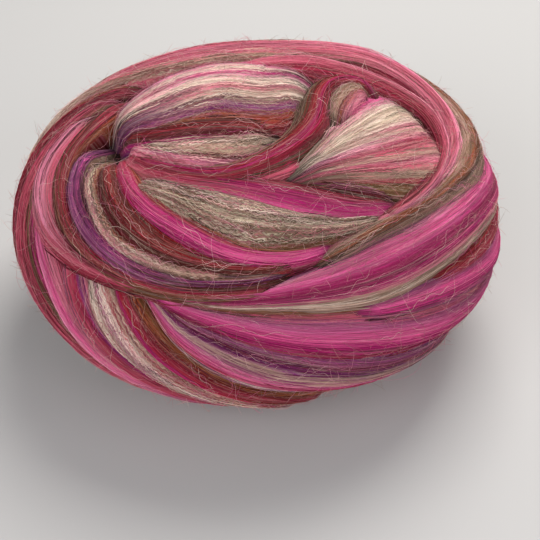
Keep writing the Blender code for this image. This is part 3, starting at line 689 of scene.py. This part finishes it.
def grain_at(tree, grain, across, along, lot):
    """One of the drawn-out noises, about 0.5 on the average."""
    at = add_node(tree, "ShaderNodeCombineXYZ", {0: across / grain.wide, 1: along / grain.long,
                                                 2: lot + grain.lot})
    noise = add_node(tree, "ShaderNodeTexNoise", {"Vector": at.outputs[0], "Scale": 1.0,
                                                  "Detail": grain.detail,
                                                  "Roughness": GRAIN_ROUGHNESS})
    return Field(noise.outputs["Fac"])


def wool_group():
    tree = bpy.data.node_groups.new("combed wool", "ShaderNodeTree")
    tree.interface.new_socket("Lay", in_out="INPUT", socket_type="NodeSocketVector")
    add_inputs(tree, Width=20.0, Crimp=0.3, Feather=0.16, Lot=1.0)
    start = add_node(tree, "NodeGroupInput")
    width, crimp, feather, lot = fields(start, "Width", "Crimp", "Feather", "Lot")
    lay = add_node(tree, "ShaderNodeSeparateXYZ", {0: start.outputs["Lay"]})
    across, along, tint = fields(lay)

    def grain(name, lane):
        return grain_at(tree, GRAINS[name], lane, along, lot)

    side = (across - 0.5) * width
    sway = (grain("sway", side) - 0.5) * SWAY_REACH
    turn = along * CRIMP_TURN + grain("wander", side) * CRIMP_WANDER
    hair = side + sway + turn.maths("SINE") * (crimp * CRIMP_REACH)
    slant = hair + along * SLANT
    coarse, medium, fine = (grain(name, hair) - 0.5 for name in ("coarse", "medium", "fine"))
    tint = tint - 0.5

    pull = fine.times_plus(PULL_FINE, medium * PULL_MEDIUM + coarse * PULL_COARSE)
    pull = tint.times_plus(PULL_TINT, pull)
    place = pull.times_plus(feather, across) + sway * 0.5 / width

    shade = medium.times_plus(STREAK_MEDIUM, fine * STREAK_FINE)
    shade = tint.times_plus(STREAK_TINT, shade)
    shade = shade.times_plus(crimp.times_plus(STREAK_CRIMPED, STREAK_SILKY), 1.0)
    shade = shade.between(DARKEST, LIGHTEST)
    odd = (grain("stray", slant) - ODD_ABOVE).maths("MULTIPLY", ODD_STEEP, clamp=True)
    kind = (grain("kind", slant) - 0.5).times_plus(KIND_SPREAD, 0.5, clamp=True)
    frizz = 0.0
    for noise, thin in FRIZZ:
        off = abs(grain_at(tree, noise, side, along, lot) - 0.5)
        frizz = off.times_plus(-thin, 1.0, clamp=True).maths("MAXIMUM", frizz)
    height = coarse.times_plus(HEIGHT_COARSE, fine.times_plus(HEIGHT_FINE, medium))
    height = frizz.times_plus(HEIGHT_FRIZZ, height)

    found = {"Across": place, "Shade": shade, "Odd": odd, "Kind": kind, "Frizz": frizz,
             "Height": height}
    for name in found:
        tree.interface.new_socket(name, in_out="OUTPUT", socket_type="NodeSocketFloat")
    add_node(tree, "NodeGroupOutput", found)
    return tree


WOOL = wool_group()
print("wool group:", len(WOOL.nodes), "nodes")

# %% [markdown]
# ## A material for each pass
# Each pass has its own dye lot, so each has its own material: a ColorRamp holds its dyes from
# edge to edge, and the wool group says where on the ramp each hair sits. The edges of a pass,
# where it is pressed into its neighbours, are darkened with painted shade for the creases, and so
# are its two ends, where it goes under. A little sheen gives wool its soft bright rim.

# %% Dyed wool
FRIZZ_HAIRS = "taupe 0, rose .3, beige .55, cream .8"
ODD_HAIRS = "wine 0, rust .2, olive .35, taupe .5, beige .65, cream .8"
PALE_HAIRS = "rose 0, beige .2, dusty_pink .4, cream .55, hot_pink .75, taupe .88"
LOT_STEP = 5.3
FEATHER, CRIMPED_FEATHER, MOST_FEATHER = 0.0019, 0.0020, 0.22
CHANGE_RAGGED, CHANGE_STEEP, CHANGE_START = 14.0, 0.025, 0.2    # how the dyes of `then` set in
ODD_SHARE, ODD_CRIMPED = 0.08, 0.4
FRIZZ_SHARE, FRIZZ_CRIMPED = 0.05, 0.5
# Where and how strongly the painted shade of the creases at a pass's edges and of its ends sets in
CREASE_SHADE_FROM, CREASE_SHADE_STEEP = 0.36, 6.0
CREASE_SHADE_DIVISOR, DEEPEST_CREASE_SHADE = 16, 0.6
END_SHADE_REACH, END_SHADE_START, END_SHADE_LEAST = 18.0, -0.3, 0.12
SHINE = {"Roughness": 0.62, "Specular IOR Level": 0.12, "Sheen Weight": 0.05, "Sheen Roughness": 0.4}
BUMP = {"Strength": 0.6, "Distance": 0.0009}


def ramp_of(tree, text, where):
    """The dyes of a row as a ColorRamp, read at a place from 0 to 1."""
    node = add_node(tree, "ShaderNodeValToRGB", {0: where})
    stops = dyed(text)
    elements = node.color_ramp.elements
    while len(elements) > 1:
        elements.remove(elements[-1])
    elements[0].position, elements[0].color = stops[0][0], linear(DYES[stops[0][1]])
    for place, name in stops[1:]:
        elements.new(place).color = linear(DYES[name])
    return node.outputs[0]


def mixed(tree, factor, first, second):
    return add_node(tree, "ShaderNodeMix", {"Factor": factor, "A": first, "B": second},
                    data_type="RGBA").outputs["Result"]


def new_material(name):
    """A material, its tree and its shader."""
    made = bpy.data.materials.new(name)
    made.use_nodes = True
    return made, made.node_tree, made.node_tree.nodes["Principled BSDF"]


def lay_of(tree):
    """Where a point lies in the wool, as its mesh keeps it."""
    return add_node(tree, "ShaderNodeAttribute", attribute_name="lay").outputs["Vector"]


def dyed_wool(item, width, length, lot):
    made, tree, shader = new_material(f"wool_{item.name}")
    lay = lay_of(tree)
    feather = min(MOST_FEATHER, (FEATHER + CRIMPED_FEATHER * item.crimp) / width)
    wool = add_node(tree, "ShaderNodeGroup", {"Lay": lay, "Width": width / MM, "Crimp": item.crimp,
                                              "Feather": feather, "Lot": lot * LOT_STEP},
                    node_tree=WOOL)
    place, shade, odd, kind, frizz, height = fields(wool)
    across, along, _ = fields(add_node(tree, "ShaderNodeSeparateXYZ", {0: lay}))
    colour = ramp_of(tree, item.dyes, place)
    if item.then:
        where, text = item.then
        step = shade.times_plus(CHANGE_RAGGED, along - where * length / MM)
        step = step.times_plus(CHANGE_STEEP, CHANGE_START, clamp=True)
        colour = mixed(tree, step, colour, ramp_of(tree, text, place))
    odd_share = ODD_SHARE + ODD_CRIMPED * item.crimp
    colour = mixed(tree, odd * odd_share, colour, ramp_of(tree, ODD_HAIRS, kind))

    # Painted shade: the colour darkens towards the creases at the edges and towards both ends, where the pass
    # goes under; the hair streaks are multiplied in too.
    crease_shade = (abs(across - 0.5) - CREASE_SHADE_FROM).maths("MULTIPLY", CREASE_SHADE_STEEP, clamp=True)
    to_tip = along.maths("MINIMUM", along.taken_from(length / MM))
    end_shade = to_tip.times_plus(1 / END_SHADE_REACH, END_SHADE_START, clamp=True).maths("MAXIMUM", END_SHADE_LEAST)
    painted_shade_and_streaks = crease_shade.times_plus(-min(DEEPEST_CREASE_SHADE, item.crease / CREASE_SHADE_DIVISOR), 1.0) * end_shade * shade
    colour = scaled(tree, colour, painted_shade_and_streaks)
    frizz_share = FRIZZ_SHARE + FRIZZ_CRIMPED * item.crimp
    colour = mixed(tree, frizz * frizz_share * painted_shade_and_streaks, colour, ramp_of(tree, FRIZZ_HAIRS, kind))
    bump = add_node(tree, "ShaderNodeBump", {"Height": height, **BUMP})
    give(shader, {"Base Color": colour, "Normal": bump.outputs[0], **SHINE})
    return made


# %% Lay the passes
FIRST_SEED = 100
BANDS = []
for number, item in enumerate(PASSES):
    piece, length, width = band(item, FIRST_SEED + number)
    piece.data.materials.append(dyed_wool(item, width, length, number + 1))
    BANDS.append((piece, item, length, width))
print("bands:", sum(len(piece.data.polygons) for piece, *_ in BANDS), "faces")

# %% [markdown]
# ## The core
# Between the passes there are deep gaps, and what shows at their bottom is more wool, in shadow.
# A plain squat ball just under the passes closes them. Its dyes run mostly to wine and chocolate,
# painted shade for the bottoms of the gaps. It is flat where the ball rests.

# %% The core
CORE_ROUND, CORE_RINGS = 96, 64
BASE_FULL, BASE_EASE = 0.90, 0.22
CORE_TURN = 90                              # mm of wool to a radian
CORE_CRIMP, CORE_LOT, CORE_WIDTH, CORE_LENGTH = 0.3, 60, 0.12, 0.5
# Wool colours, darkened to wine and chocolate as painted shade for the gaps between passes
CORE_DYES_AND_SHADE = "dusty_pink 0, wine .2, chocolate .35, wine .5, raspberry .65, wine .85, chocolate 1"


def core():
    lat = np.linspace(-90, 90, CORE_RINGS + 1)[1:-1]
    lon = np.linspace(0, 360, CORE_ROUND, endpoint=False)
    dirs = np.array([direction(b, a) for a in lat for b in lon] + [[0, 0, -1], [0, 0, 1]])
    points, normals = surface(dirs)
    inset = CORE_INSET * np.clip((dirs[:, 2] + BASE_FULL) / BASE_EASE, 0, 1)
    points -= normals * inset[:, None]
    points[:, 2] = np.maximum(points[:, 2], 0.0)
    south, north, top = len(dirs) - 2, len(dirs) - 1, (len(lat) - 1) * CORE_ROUND
    around = [(b, (b + 1) % CORE_ROUND) for b in range(CORE_ROUND)]
    faces = [(low + b, low + c, low + CORE_ROUND + c, low + CORE_ROUND + b)
             for low in range(0, top, CORE_ROUND) for b, c in around]
    for b, c in around:
        faces += [(south, c, b), (north, top + b, top + c)]
    mesh = bpy.data.meshes.new("core")
    mesh.from_pydata(points, [], faces)
    mesh.shade_smooth()
    keep_lay(mesh, np.stack([(dirs[:, 2] + 1) / 2, np.arctan2(dirs[:, 1], dirs[:, 0]) * CORE_TURN,
                             np.full(len(dirs), PLAIN_TINT)], 1))
    return add_object("core", mesh)


core_piece = core()
core_pass = Pass("core", 0, 0, CORE_CRIMP, CORE_DYES_AND_SHADE, None, [])
core_piece.data.materials.append(dyed_wool(core_pass, CORE_WIDTH, CORE_LENGTH, CORE_LOT))
print("core:", len(core_piece.data.polygons), "faces")

# %% [markdown]
# ## The whole surface, and a guide for each pass
# Fibres lie on whatever is uppermost, so all bands are also copied into one mesh that says at
# each point which pass it belongs to. A guide is the top of one pass again, carried on a little
# past both edges, with a chart: how far across the wool, and how far along.

# %% The whole surface
GUIDE_REACH = 1.3
GUIDE_STEPS = 12


def merged(pieces):
    """All pieces in one mesh, with each one's number kept at its points."""
    points, faces, numbers = [], [], []
    for number, piece in enumerate(pieces):
        start = len(points)
        points.extend(vertex.co for vertex in piece.data.vertices)
        faces.extend(tuple(start + i for i in face.vertices) for face in piece.data.polygons)
        numbers.extend([number] * len(piece.data.vertices))
    mesh = bpy.data.meshes.new("whole")
    mesh.from_pydata(points, [], faces)
    mesh.attributes.new("owner", "FLOAT", "POINT").data.foreach_set("value", numbers)
    mesh.shade_smooth()
    return mesh


def guide(item, seed):
    """The charted sheet that a pass's fibres are laid by."""
    across = np.linspace(-GUIDE_REACH, GUIDE_REACH, GUIDE_STEPS + 1)
    tops, _, stations, _ = cross_sections(item, seed, across)
    length = len(stations)
    faces = [(j * length + k, j * length + k + 1, (j + 1) * length + k + 1, (j + 1) * length + k)
             for j in range(GUIDE_STEPS) for k in range(length - 1)]
    mesh = bpy.data.meshes.new(f"guide_{item.name}")
    mesh.from_pydata(tops.reshape(-1, 3), [], faces)
    loops = corners_of(mesh)
    uv = np.stack([loops // length / GUIDE_STEPS, loops % length / (length - 1)], 1)
    mesh.uv_layers.new(name="chart").data.foreach_set("uv", uv.reshape(-1))
    mesh.shade_smooth()
    return mesh


WHOLE = add_object("whole", merged([piece for piece, *_ in BANDS] + [core_piece]))
print("whole surface:", len(WHOLE.data.polygons), "faces")

# %% [markdown]
# ## Fibres laid along the wool
# The surface so far is only painted with hairs. Real ones are laid over it with Geometry Nodes:
# short curves for each pass, each told where it lives across and along the wool. A curve that
# would live under another pass is left out. Every point of the others looks up its place on the
# guide, drops on to the surface below or bridges a crease, lifts a little, tucks its ends back
# in, and waves from side to side where the wool is crimped. A three-sided profile turns the
# curves into fine hairs that keep their dye.

# %% Roots and lines, as both trees of hairs have them
FULL_TURN = 6.283


def hair_tree(name, source, **sizes):
    """A Geometry Nodes tree for hairs: itself, its inputs, the surface and its output node."""
    tree = bpy.data.node_groups.new(name, "GeometryNodeTree")
    tree.interface.new_socket(source, in_out="INPUT", socket_type="NodeSocketGeometry")
    add_inputs(tree, **sizes)
    tree.interface.new_socket("Ball", in_out="INPUT", socket_type="NodeSocketObject")
    tree.interface.new_socket("Dye", in_out="INPUT", socket_type="NodeSocketMaterial")
    tree.interface.new_socket("Hairs", in_out="OUTPUT", socket_type="NodeSocketGeometry")
    start = add_node(tree, "NodeGroupInput")
    size = {out.name: Field(out) for out in start.outputs if out.name}
    ball = add_node(tree, "GeometryNodeObjectInfo", {"Object": size["Ball"]}).outputs["Geometry"]
    return tree, size, ball, add_node(tree, "NodeGroupOutput")


def named(tree, name, kind="FLOAT"):
    node = add_node(tree, "GeometryNodeInputNamedAttribute", {"Name": name}, data_type=kind)
    return Field(node.outputs["Attribute"])


def store(tree, geometry, name, value, kind="FLOAT"):
    node = add_node(tree, "GeometryNodeStoreNamedAttribute",
                    {"Geometry": geometry, "Name": name, "Value": value},
                    data_type=kind, domain="POINT")
    return node.outputs[0]


def without(tree, geometry, selection, domain="POINT"):
    """A cloud or hairs without what the selection says."""
    return add_node(tree, "GeometryNodeDeleteGeometry",
                    {"Geometry": geometry, "Selection": selection}, domain=domain).outputs[0]


def with_chances(tree, cloud, seed, chances, first=0):
    """Random numbers kept at each root, the same on every run: their names and ranges."""
    for offset, (name, low, high) in enumerate(chances, first):
        node = add_node(tree, "FunctionNodeRandomValue",
                        {2: low, 3: high, 8: seed + float(offset)}, data_type="FLOAT")
        cloud = store(tree, cloud, name, node.outputs[1])
    return cloud


def hairs_on(tree, cloud, sections):
    """A line of so many points at each root, and each point's share of the way along it."""
    line = add_node(tree, "GeometryNodeCurvePrimitiveLine", {"End": (1, 0, 0)})
    line = add_node(tree, "GeometryNodeResampleCurve",
                    {"Curve": line.outputs[0], "Count": sections}, mode="COUNT")
    hairs = add_node(tree, "GeometryNodeInstanceOnPoints",
                     {"Points": cloud, "Instance": line.outputs[0]})
    hairs = add_node(tree, "GeometryNodeRealizeInstances", {"Geometry": hairs.outputs[0]})
    share = add_node(tree, "GeometryNodeSplineParameter").outputs["Factor"]
    return hairs.outputs[0], Field(share)


# %% From lines to hairs
TIP_THICKNESS = 0.3
LOWEST_POINT = (-9, -9, 0.0004)             # every hair stays just above the floor


def vector(tree, operation, *values):
    return add_node(tree, "ShaderNodeVectorMath", dict(enumerate(values)),
                    operation=operation).outputs[0]


def moved(tree, start, way, distance):
    """A point moved along a direction."""
    return vector(tree, "ADD", start, scaled(tree, way, distance))


def put(tree, hairs, position):
    return add_node(tree, "GeometryNodeSetPosition",
                    {"Geometry": hairs, "Position": position}).outputs[0]


def above_floor(tree, hairs, position):
    return put(tree, hairs, vector(tree, "MAXIMUM", position, LOWEST_POINT))


def solid_hairs(tree, curves, marks, names, thickness, taper, dye):
    """Curves as fine three-sided hairs of one material that keep their lay and nothing else."""
    across, along, tint = marks
    mark = add_node(tree, "ShaderNodeCombineXYZ", {"X": across, "Y": along, "Z": tint})
    curves = store(tree, curves, "lay", mark.outputs[0], "FLOAT_VECTOR")
    for name in names:
        curves = add_node(tree, "GeometryNodeRemoveAttribute",
                          {"Geometry": curves, "Name": name}).outputs[0]
    ring = add_node(tree, "GeometryNodeCurvePrimitiveCircle", {"Resolution": 3, "Radius": 1.0},
                    mode="RADIUS")
    radius = taper.times_plus(1 - TIP_THICKNESS, TIP_THICKNESS) * thickness
    solid = add_node(tree, "GeometryNodeCurveToMesh",
                     {"Curve": curves, "Profile Curve": ring.outputs[0], "Scale": radius,
                      "Fill Caps": True})
    smooth = add_node(tree, "GeometryNodeSetShadeSmooth", {"Geometry": solid.outputs[0]})
    real = add_node(tree, "GeometryNodeRealizeInstances", {"Geometry": smooth.outputs[0]})
    return add_node(tree, "GeometryNodeSetMaterial",
                    {"Geometry": real.outputs[0], "Material": dye}).outputs[0]


# %% Looking down on the surface
DROP_FROM = 0.010
SKY_REACH = 0.030


def on_guide(tree, wool, across, along):
    """Where a chart place lies on the guide, and which way is out there."""
    charted = across.times_plus(1 / GUIDE_REACH, 0.5 - 0.5 / GUIDE_REACH)
    spot = add_node(tree, "ShaderNodeCombineXYZ", {"X": charted, "Y": along}).outputs[0]
    chart = named(tree, "chart", "FLOAT_VECTOR")
    return [add_node(tree, "GeometryNodeSampleUVSurface",
                     {"Mesh": wool, "Value": add_node(tree, kind).outputs[0], "UV Map": chart,
                      "Sample UV": spot}, data_type="FLOAT_VECTOR").outputs[0]
            for kind in ("GeometryNodeInputPosition", "GeometryNodeInputNormal")]


def look_down(tree, target, seat, out):
    """A ray from above the seat to the surface: the Raycast node's outputs."""
    return add_node(tree, "GeometryNodeRaycast",
                    {"Target Geometry": target, "Attribute": named(tree, "owner"),
                     "Source Position": moved(tree, seat, out, DROP_FROM),
                     "Ray Direction": scaled(tree, out, -1.0), "Ray Length": SKY_REACH},
                    data_type="FLOAT", mapping="NEAREST").outputs


# %% The tree that lays fibres
BRIDGE = 0.0012                             # how far a fibre leaves its guide for the surface
HIDDEN = 0.0012                             # how deep a home may lie and still get its fibre
END_TUCK = 0.0005
EDGE_OUT = 0.14                             # how far past an edge a fibre may lean
LAID_CHANCES = (("home_across", -0.02, 1.02), ("home_along", 0.0, 1.0), ("reach", 0.5, 1.3),
                ("tint", 0.0, 1.0), ("phase", 0.0, 6.28), ("rise", 0.0, 1.0), ("lean", -1.0, 1.0))


def fibre_tree():
    tree, size, ball, end = hair_tree(
        "laid fibres", "Wool", Count=200, Sections=12, Length=200.0, Reach=0.3, Rise=0.0008,
        Thickness=0.0002, Crimp=0.0, Waves=8.0, Skew=0.1, Seed=1)
    cloud = add_node(tree, "GeometryNodePoints", {"Count": size["Count"]}).outputs[0]
    cloud = with_chances(tree, cloud, size["Seed"], LAID_CHANCES)
    names = [name for name, *_ in LAID_CHANCES]
    home_across, home_along, reach, tint, phase, rise, lean = (named(tree, name) for name in names)
    seat, out = on_guide(tree, size["Wool"], home_across, home_along)
    depth = Field(look_down(tree, ball, seat, out)["Hit Distance"])
    cloud = without(tree, cloud, depth.maths("LESS_THAN", DROP_FROM - HIDDEN))
    hairs, share = hairs_on(tree, cloud, size["Sections"])

    middle = share - 0.5
    arch = (abs(middle * 2.0) ** 4.0).taken_from(1.0)
    reach = reach * size["Reach"]
    along = share.times_plus(reach, home_along * reach.taken_from(1.0))
    turn = share.times_plus(size["Waves"] * FULL_TURN, phase)
    across = turn.maths("SINE").times_plus(size["Crimp"], home_across)
    across = middle.times_plus(lean * size["Skew"], across).between(-EDGE_OUT, 1 + EDGE_OUT)
    seat, out = on_guide(tree, size["Wool"], across, along)
    seen = look_down(tree, ball, seat, out)
    step = Field(seen["Hit Distance"]).taken_from(DROP_FROM).between(-BRIDGE, BRIDGE * 0.7)
    lift = arch.times_plus((rise + 0.15) * size["Rise"] + END_TUCK, -END_TUCK)
    lift = lift + step * seen["Is Hit"]
    hairs = above_floor(tree, hairs, moved(tree, seat, out, lift))
    marks = home_across, home_along * size["Length"], tint
    give(end, {0: solid_hairs(tree, hairs, marks, names, size["Thickness"], arch, size["Dye"])})
    return tree


LAID = fibre_tree()
print("laid fibres:", len(LAID.nodes), "nodes")


# %% Run a tree on a piece
def grown(tree, name, source, **sizes):
    """A plain mesh object that a Geometry Nodes tree makes from a source mesh."""
    carrier = add_object(name, source)
    modifier = carrier.modifiers.new("grow", "NODES")
    modifier.node_group = tree
    for socket in tree.interface.items_tree:
        if socket.item_type == "SOCKET" and socket.name in sizes:
            modifier[socket.identifier] = sizes[socket.name]
    evaluated = carrier.evaluated_get(bpy.context.evaluated_depsgraph_get())
    mesh = bpy.data.meshes.new_from_object(evaluated)
    mesh.name = name
    carrier.modifiers.clear()
    carrier.data = mesh
    return carrier


def triangles(pieces):
    for piece in pieces:
        piece.data.calc_loop_triangles()
    return sum(len(piece.data.loop_triangles) for piece in pieces)


print("bands:", triangles([piece for piece, *_ in BANDS]), "triangles")


# %% Pale hairs
def pale_wool():
    made, tree, shader = new_material("pale_hairs")
    tint = add_node(tree, "ShaderNodeSeparateXYZ", {0: lay_of(tree)}).outputs[0]
    give(shader, {"Base Color": ramp_of(tree, PALE_HAIRS, tint), "Roughness": 0.5})
    return made


PALE = pale_wool()
print("pale hairs:", len(PALE.node_tree.nodes), "nodes")

# %% Lay the fibres
SILKY_AREA, CRIMPED_AREA = 7.6 * MM * MM, 5.5 * MM * MM     # surface to each hair
TURN_AREA, FRIZZ_AREA = 25.0 * MM * MM, 26.0 * MM * MM
SILKY_REACH, CRIMPED_REACH, FRIZZ_REACH = 60 * MM, 22 * MM, 20 * MM
CRIMP_LENGTH, FRIZZ_WAVE = 3.4 * MM, 9.0 * MM
CRIMPED_FROM = 0.45
FURTHEST = 0.8
HAIR_SEEDS = 40


def wool_area(item, length):
    widths = [row.width for row in item.ways]
    return length * sum(widths) / len(widths) * MM


def lay_hairs(kind, number, count, reach, wave, **sizes):
    """Hairs of one kind laid along a pass."""
    _, item, length, _ = BANDS[number]
    reach = min(FURTHEST, reach / length)
    return grown(LAID, f"{kind}_{item.name}", guide(item, FIRST_SEED + number), Count=int(count),
                 Length=length / MM, Reach=reach, Waves=reach * length / wave, Ball=WHOLE, **sizes)


def lay_fibres(number):
    """The fibres of a pass, long if it is silky, short and waved if it is crimped."""
    piece, item, length, width = BANDS[number]
    crimped = item.crimp > CRIMPED_FROM
    each = TURN_AREA if number in TURNS else CRIMPED_AREA if crimped else SILKY_AREA
    return lay_hairs("fibres", number, wool_area(item, length) / each,
                     CRIMPED_REACH if crimped else SILKY_REACH, CRIMP_LENGTH,
                     Sections=20 if crimped else 9, Rise=0.0006, Thickness=0.00014,
                     Crimp=CRIMP_REACH * MM * item.crimp / width if crimped else 0.0,
                     Skew=2.4 * MM / width, Seed=HAIR_SEEDS * number,
                     Dye=piece.data.materials[0])


def lay_frizz(number):
    """A few long curly pale hairs that wander over a pass."""
    _, item, length, width = BANDS[number]
    count = wool_area(item, length) / FRIZZ_AREA * (0.3 + 1.2 * item.crimp)
    return lay_hairs("frizz", number, count, FRIZZ_REACH, FRIZZ_WAVE,
                     Sections=18, Rise=0.0016, Thickness=0.00005, Crimp=0.9 * MM / width,
                     Skew=10 * MM / width, Seed=HAIR_SEEDS * number + 9, Dye=PALE)


TURNS = range(len(BANDS) - len(WIND_DYES), len(BANDS))
FIBRES = [lay_fibres(number) for number in range(len(BANDS))]
print("laid fibres:", triangles(FIBRES), "triangles")
FRIZZ_PIECES = [lay_frizz(number) for number in range(TURNS.start)]
print("frizz:", triangles(FRIZZ_PIECES), "triangles")

# %% [markdown]
# ## Stray hairs and fuzz
# Combed wool is never tidy: long pale hairs lie across the passes in loose arcs, and a short fuzz
# stands all round the outline. Both start from points scattered over the core. A stray hair bows
# over the surface, touching it at both ends; a hair of the fuzz has its root on it and leans out.

# %% The tree that scatters hairs
CLEARANCE = 0.006                           # how far above the ball a home lies
LOWEST_HAIR = 0.012
SIDE_AXIS = (0.31, 0.17, 0.94)              # any way that is not quite up
SLOW_PHASE, SLOW_WAVE, SLOW_CURL = 1.7, 3.1, 3.2
STRAY_RISE, STRAY_TUCK = 0.0010, 0.0003
FUZZ_AHEAD, FUZZ_OUT, FUZZ_TUCK = 0.75, 0.5, 0.0004
EASE_TIMES = 3
FIRST_CHANCE = 3
CHANCES = (("heading", 0.0, FULL_TURN), ("size", 0.0, 1.0), ("bow", 0.0, 1.0),
           ("bend", -1.0, 1.0), ("phase", 0.0, FULL_TURN), ("tint", 0.0, 1.0))


def scattered_tree(name, standing):
    tree, size, ball, end = hair_tree(
        name, "Core", Density=10000.0, Sections=12, Shortest=0.01, Longest=0.04, Bow=0.002,
        Bend=0.3, Curl=0.001, Wave=0.009, Thickness=0.0001, Seed=1)
    spread = add_node(tree, "GeometryNodeDistributePointsOnFaces",
                      {"Mesh": size["Core"], "Density": size["Density"], "Seed": size["Seed"]})
    here = add_node(tree, "GeometryNodeInputPosition").outputs[0]
    height = Field(add_node(tree, "ShaderNodeSeparateXYZ", {0: here}).outputs[2])
    cloud = without(tree, spread.outputs["Points"], height.maths("LESS_THAN", LOWEST_HAIR))
    outward = spread.outputs["Normal"]
    seat = moved(tree, here, outward, CORE_INSET + CLEARANCE)
    cloud = store(tree, cloud, "home", seat, "FLOAT_VECTOR")
    cloud = store(tree, cloud, "outward", outward, "FLOAT_VECTOR")
    cloud = with_chances(tree, cloud, size["Seed"], CHANCES, FIRST_CHANCE)
    hairs, share = hairs_on(tree, cloud, size["Sections"])

    home, out = (named(tree, label, "FLOAT_VECTOR") for label in ("home", "outward"))
    labels = [label for label, *_ in CHANCES]
    heading, chosen, bow, bend, phase, tint = (named(tree, label) for label in labels)
    level = vector(tree, "NORMALIZE", vector(tree, "CROSS_PRODUCT", out, SIDE_AXIS))
    ahead = add_node(tree, "ShaderNodeVectorRotate",
                     {"Vector": level, "Axis": out, "Angle": heading}).outputs[0]
    aside = vector(tree, "CROSS_PRODUCT", out, ahead)

    length = (chosen ** 1.6).times_plus(size["Longest"] - size["Shortest"], size["Shortest"])
    middle = share - 0.5
    arch = (abs(middle * 2.0) ** 2.0).taken_from(1.0)
    gone = share if standing else middle
    travel = length * gone
    ripple = (phase + travel / size["Wave"]).maths("SINE") * size["Curl"]
    slow = phase.times_plus(SLOW_PHASE, travel / (size["Wave"] * SLOW_WAVE)).maths("SINE")
    ripple = slow.times_plus(size["Curl"] * SLOW_CURL, ripple)
    sideways = bend * size["Bend"] * (length * gone ** 2.0) + ripple
    lift = bow ** 3.0 * size["Bow"]
    if standing:
        seen = look_down(tree, ball, home, out)
        spot = moved(tree, seen["Hit Position"], ahead, travel * FUZZ_AHEAD)
        spot = moved(tree, spot, aside, sideways)
        spot = moved(tree, spot, out, travel.times_plus(FUZZ_OUT, lift * share) - FUZZ_TUCK)
    else:
        spot = moved(tree, moved(tree, home, ahead, travel), aside, sideways)
        seen = look_down(tree, ball, spot, out)
        rise = (lift + STRAY_RISE).times_plus(arch, -STRAY_TUCK)
        spot = moved(tree, seen["Hit Position"], out, rise)
    hairs = above_floor(tree, hairs, spot)
    hairs = without(tree, hairs, Field(seen["Is Hit"]).taken_from(1.0), "CURVE")
    if not standing:
        eased = add_node(tree, "GeometryNodeBlurAttribute", {0: here, "Iterations": EASE_TIMES},
                         data_type="FLOAT_VECTOR").outputs[0]
        hairs = put(tree, hairs, eased)
    hairs = solid_hairs(tree, hairs, (tint, 0.0, tint), ["home", "outward"] + labels,
                        size["Thickness"], arch, size["Dye"])
    give(end, {0: hairs})
    return tree


# %% Scatter them
STRAYS = grown(scattered_tree("stray hairs", False), "stray_hairs", core_piece.data,
               Density=7500.0, Sections=18, Shortest=0.012, Longest=0.05, Bow=0.004, Bend=1.5,
               Curl=0.0012, Wave=0.0017, Thickness=0.00005, Seed=5, Ball=WHOLE, Dye=PALE)
FUZZ = grown(scattered_tree("fuzz", True), "fuzz", core_piece.data,
             Density=34000.0, Sections=5, Shortest=0.003, Longest=0.009, Bow=0.003, Bend=0.8,
             Curl=0.0004, Wave=0.0020, Thickness=0.00006, Seed=9, Ball=WHOLE, Dye=PALE)
print("stray hairs:", triangles([STRAYS]), "triangles, fuzz:", triangles([FUZZ]))

# %% [markdown]
# ## The studio
# A pale floor and three soft lights: a large one above and behind the ball that draws the bright
# rims, a wide one at the front left, as from a window on a dull day, and a weaker fill from the
# front right.

# %% The floor and lights
FLOOR_HALF, FLOOR_GAP = 3, 0.0004
PAPER_COLOUR = (0.50, 0.49, 0.48, 1)
SKY_COLOUR, SKY_STRENGTH = (0.8, 0.82, 0.85, 1), 0.28
LIGHTS = (                                  # name, place, size, power, colour
    ("key", (0.25, 0.50, 0.95), 0.7, 13, (1.0, 0.98, 0.95)),
    ("window", (-0.55, -0.85, 0.55), 0.9, 9, (0.97, 0.98, 1.0)),
    ("fill", (0.8, -0.7, 0.5), 0.9, 5, (0.97, 0.98, 1.0)),
)

floor_mesh = bpy.data.meshes.new("floor")
corners = [(-1, -1), (1, -1), (1, 1), (-1, 1)]
floor_mesh.from_pydata([(x * FLOOR_HALF, y * FLOOR_HALF, 0) for x, y in corners], [], [(0, 1, 2, 3)])
floor = add_object("floor", floor_mesh)
floor.location = (0, 0, -FLOOR_GAP)
paper, _, paper_shader = new_material("pale_paper")
give(paper_shader, {"Base Color": PAPER_COLOUR, "Roughness": 0.9})
floor_mesh.materials.append(paper)

for name, place, size, power, colour in LIGHTS:
    lamp = bpy.data.lights.new(name, "AREA")
    lamp.size, lamp.energy, lamp.color = size, power, colour
    light = add_object(name, lamp)
    light.location = place
    light.rotation_euler = (AIM - Vector(place)).to_track_quat("-Z", "Y").to_euler()

world = bpy.data.worlds.new("studio")
world.use_nodes = True
give(world.node_tree.nodes["Background"], {"Color": SKY_COLOUR, "Strength": SKY_STRENGTH})
bpy.context.scene.world = world
bpy.context.scene.view_settings.view_transform = "Standard"
print("lights set")

# %% [markdown]
# ## Hand over to the frame
# The merged copy of the surface has done its work and goes.
# Every piece of wool rides on the ball's one body and stands for its solid.

# %% Finish
bpy.data.objects.remove(WHOLE)
for piece in [core_piece, STRAYS, FUZZ] + [entry[0] for entry in BANDS] + FIBRES + FRIZZ_PIECES:
    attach(piece, "root")
    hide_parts("roving_ball")
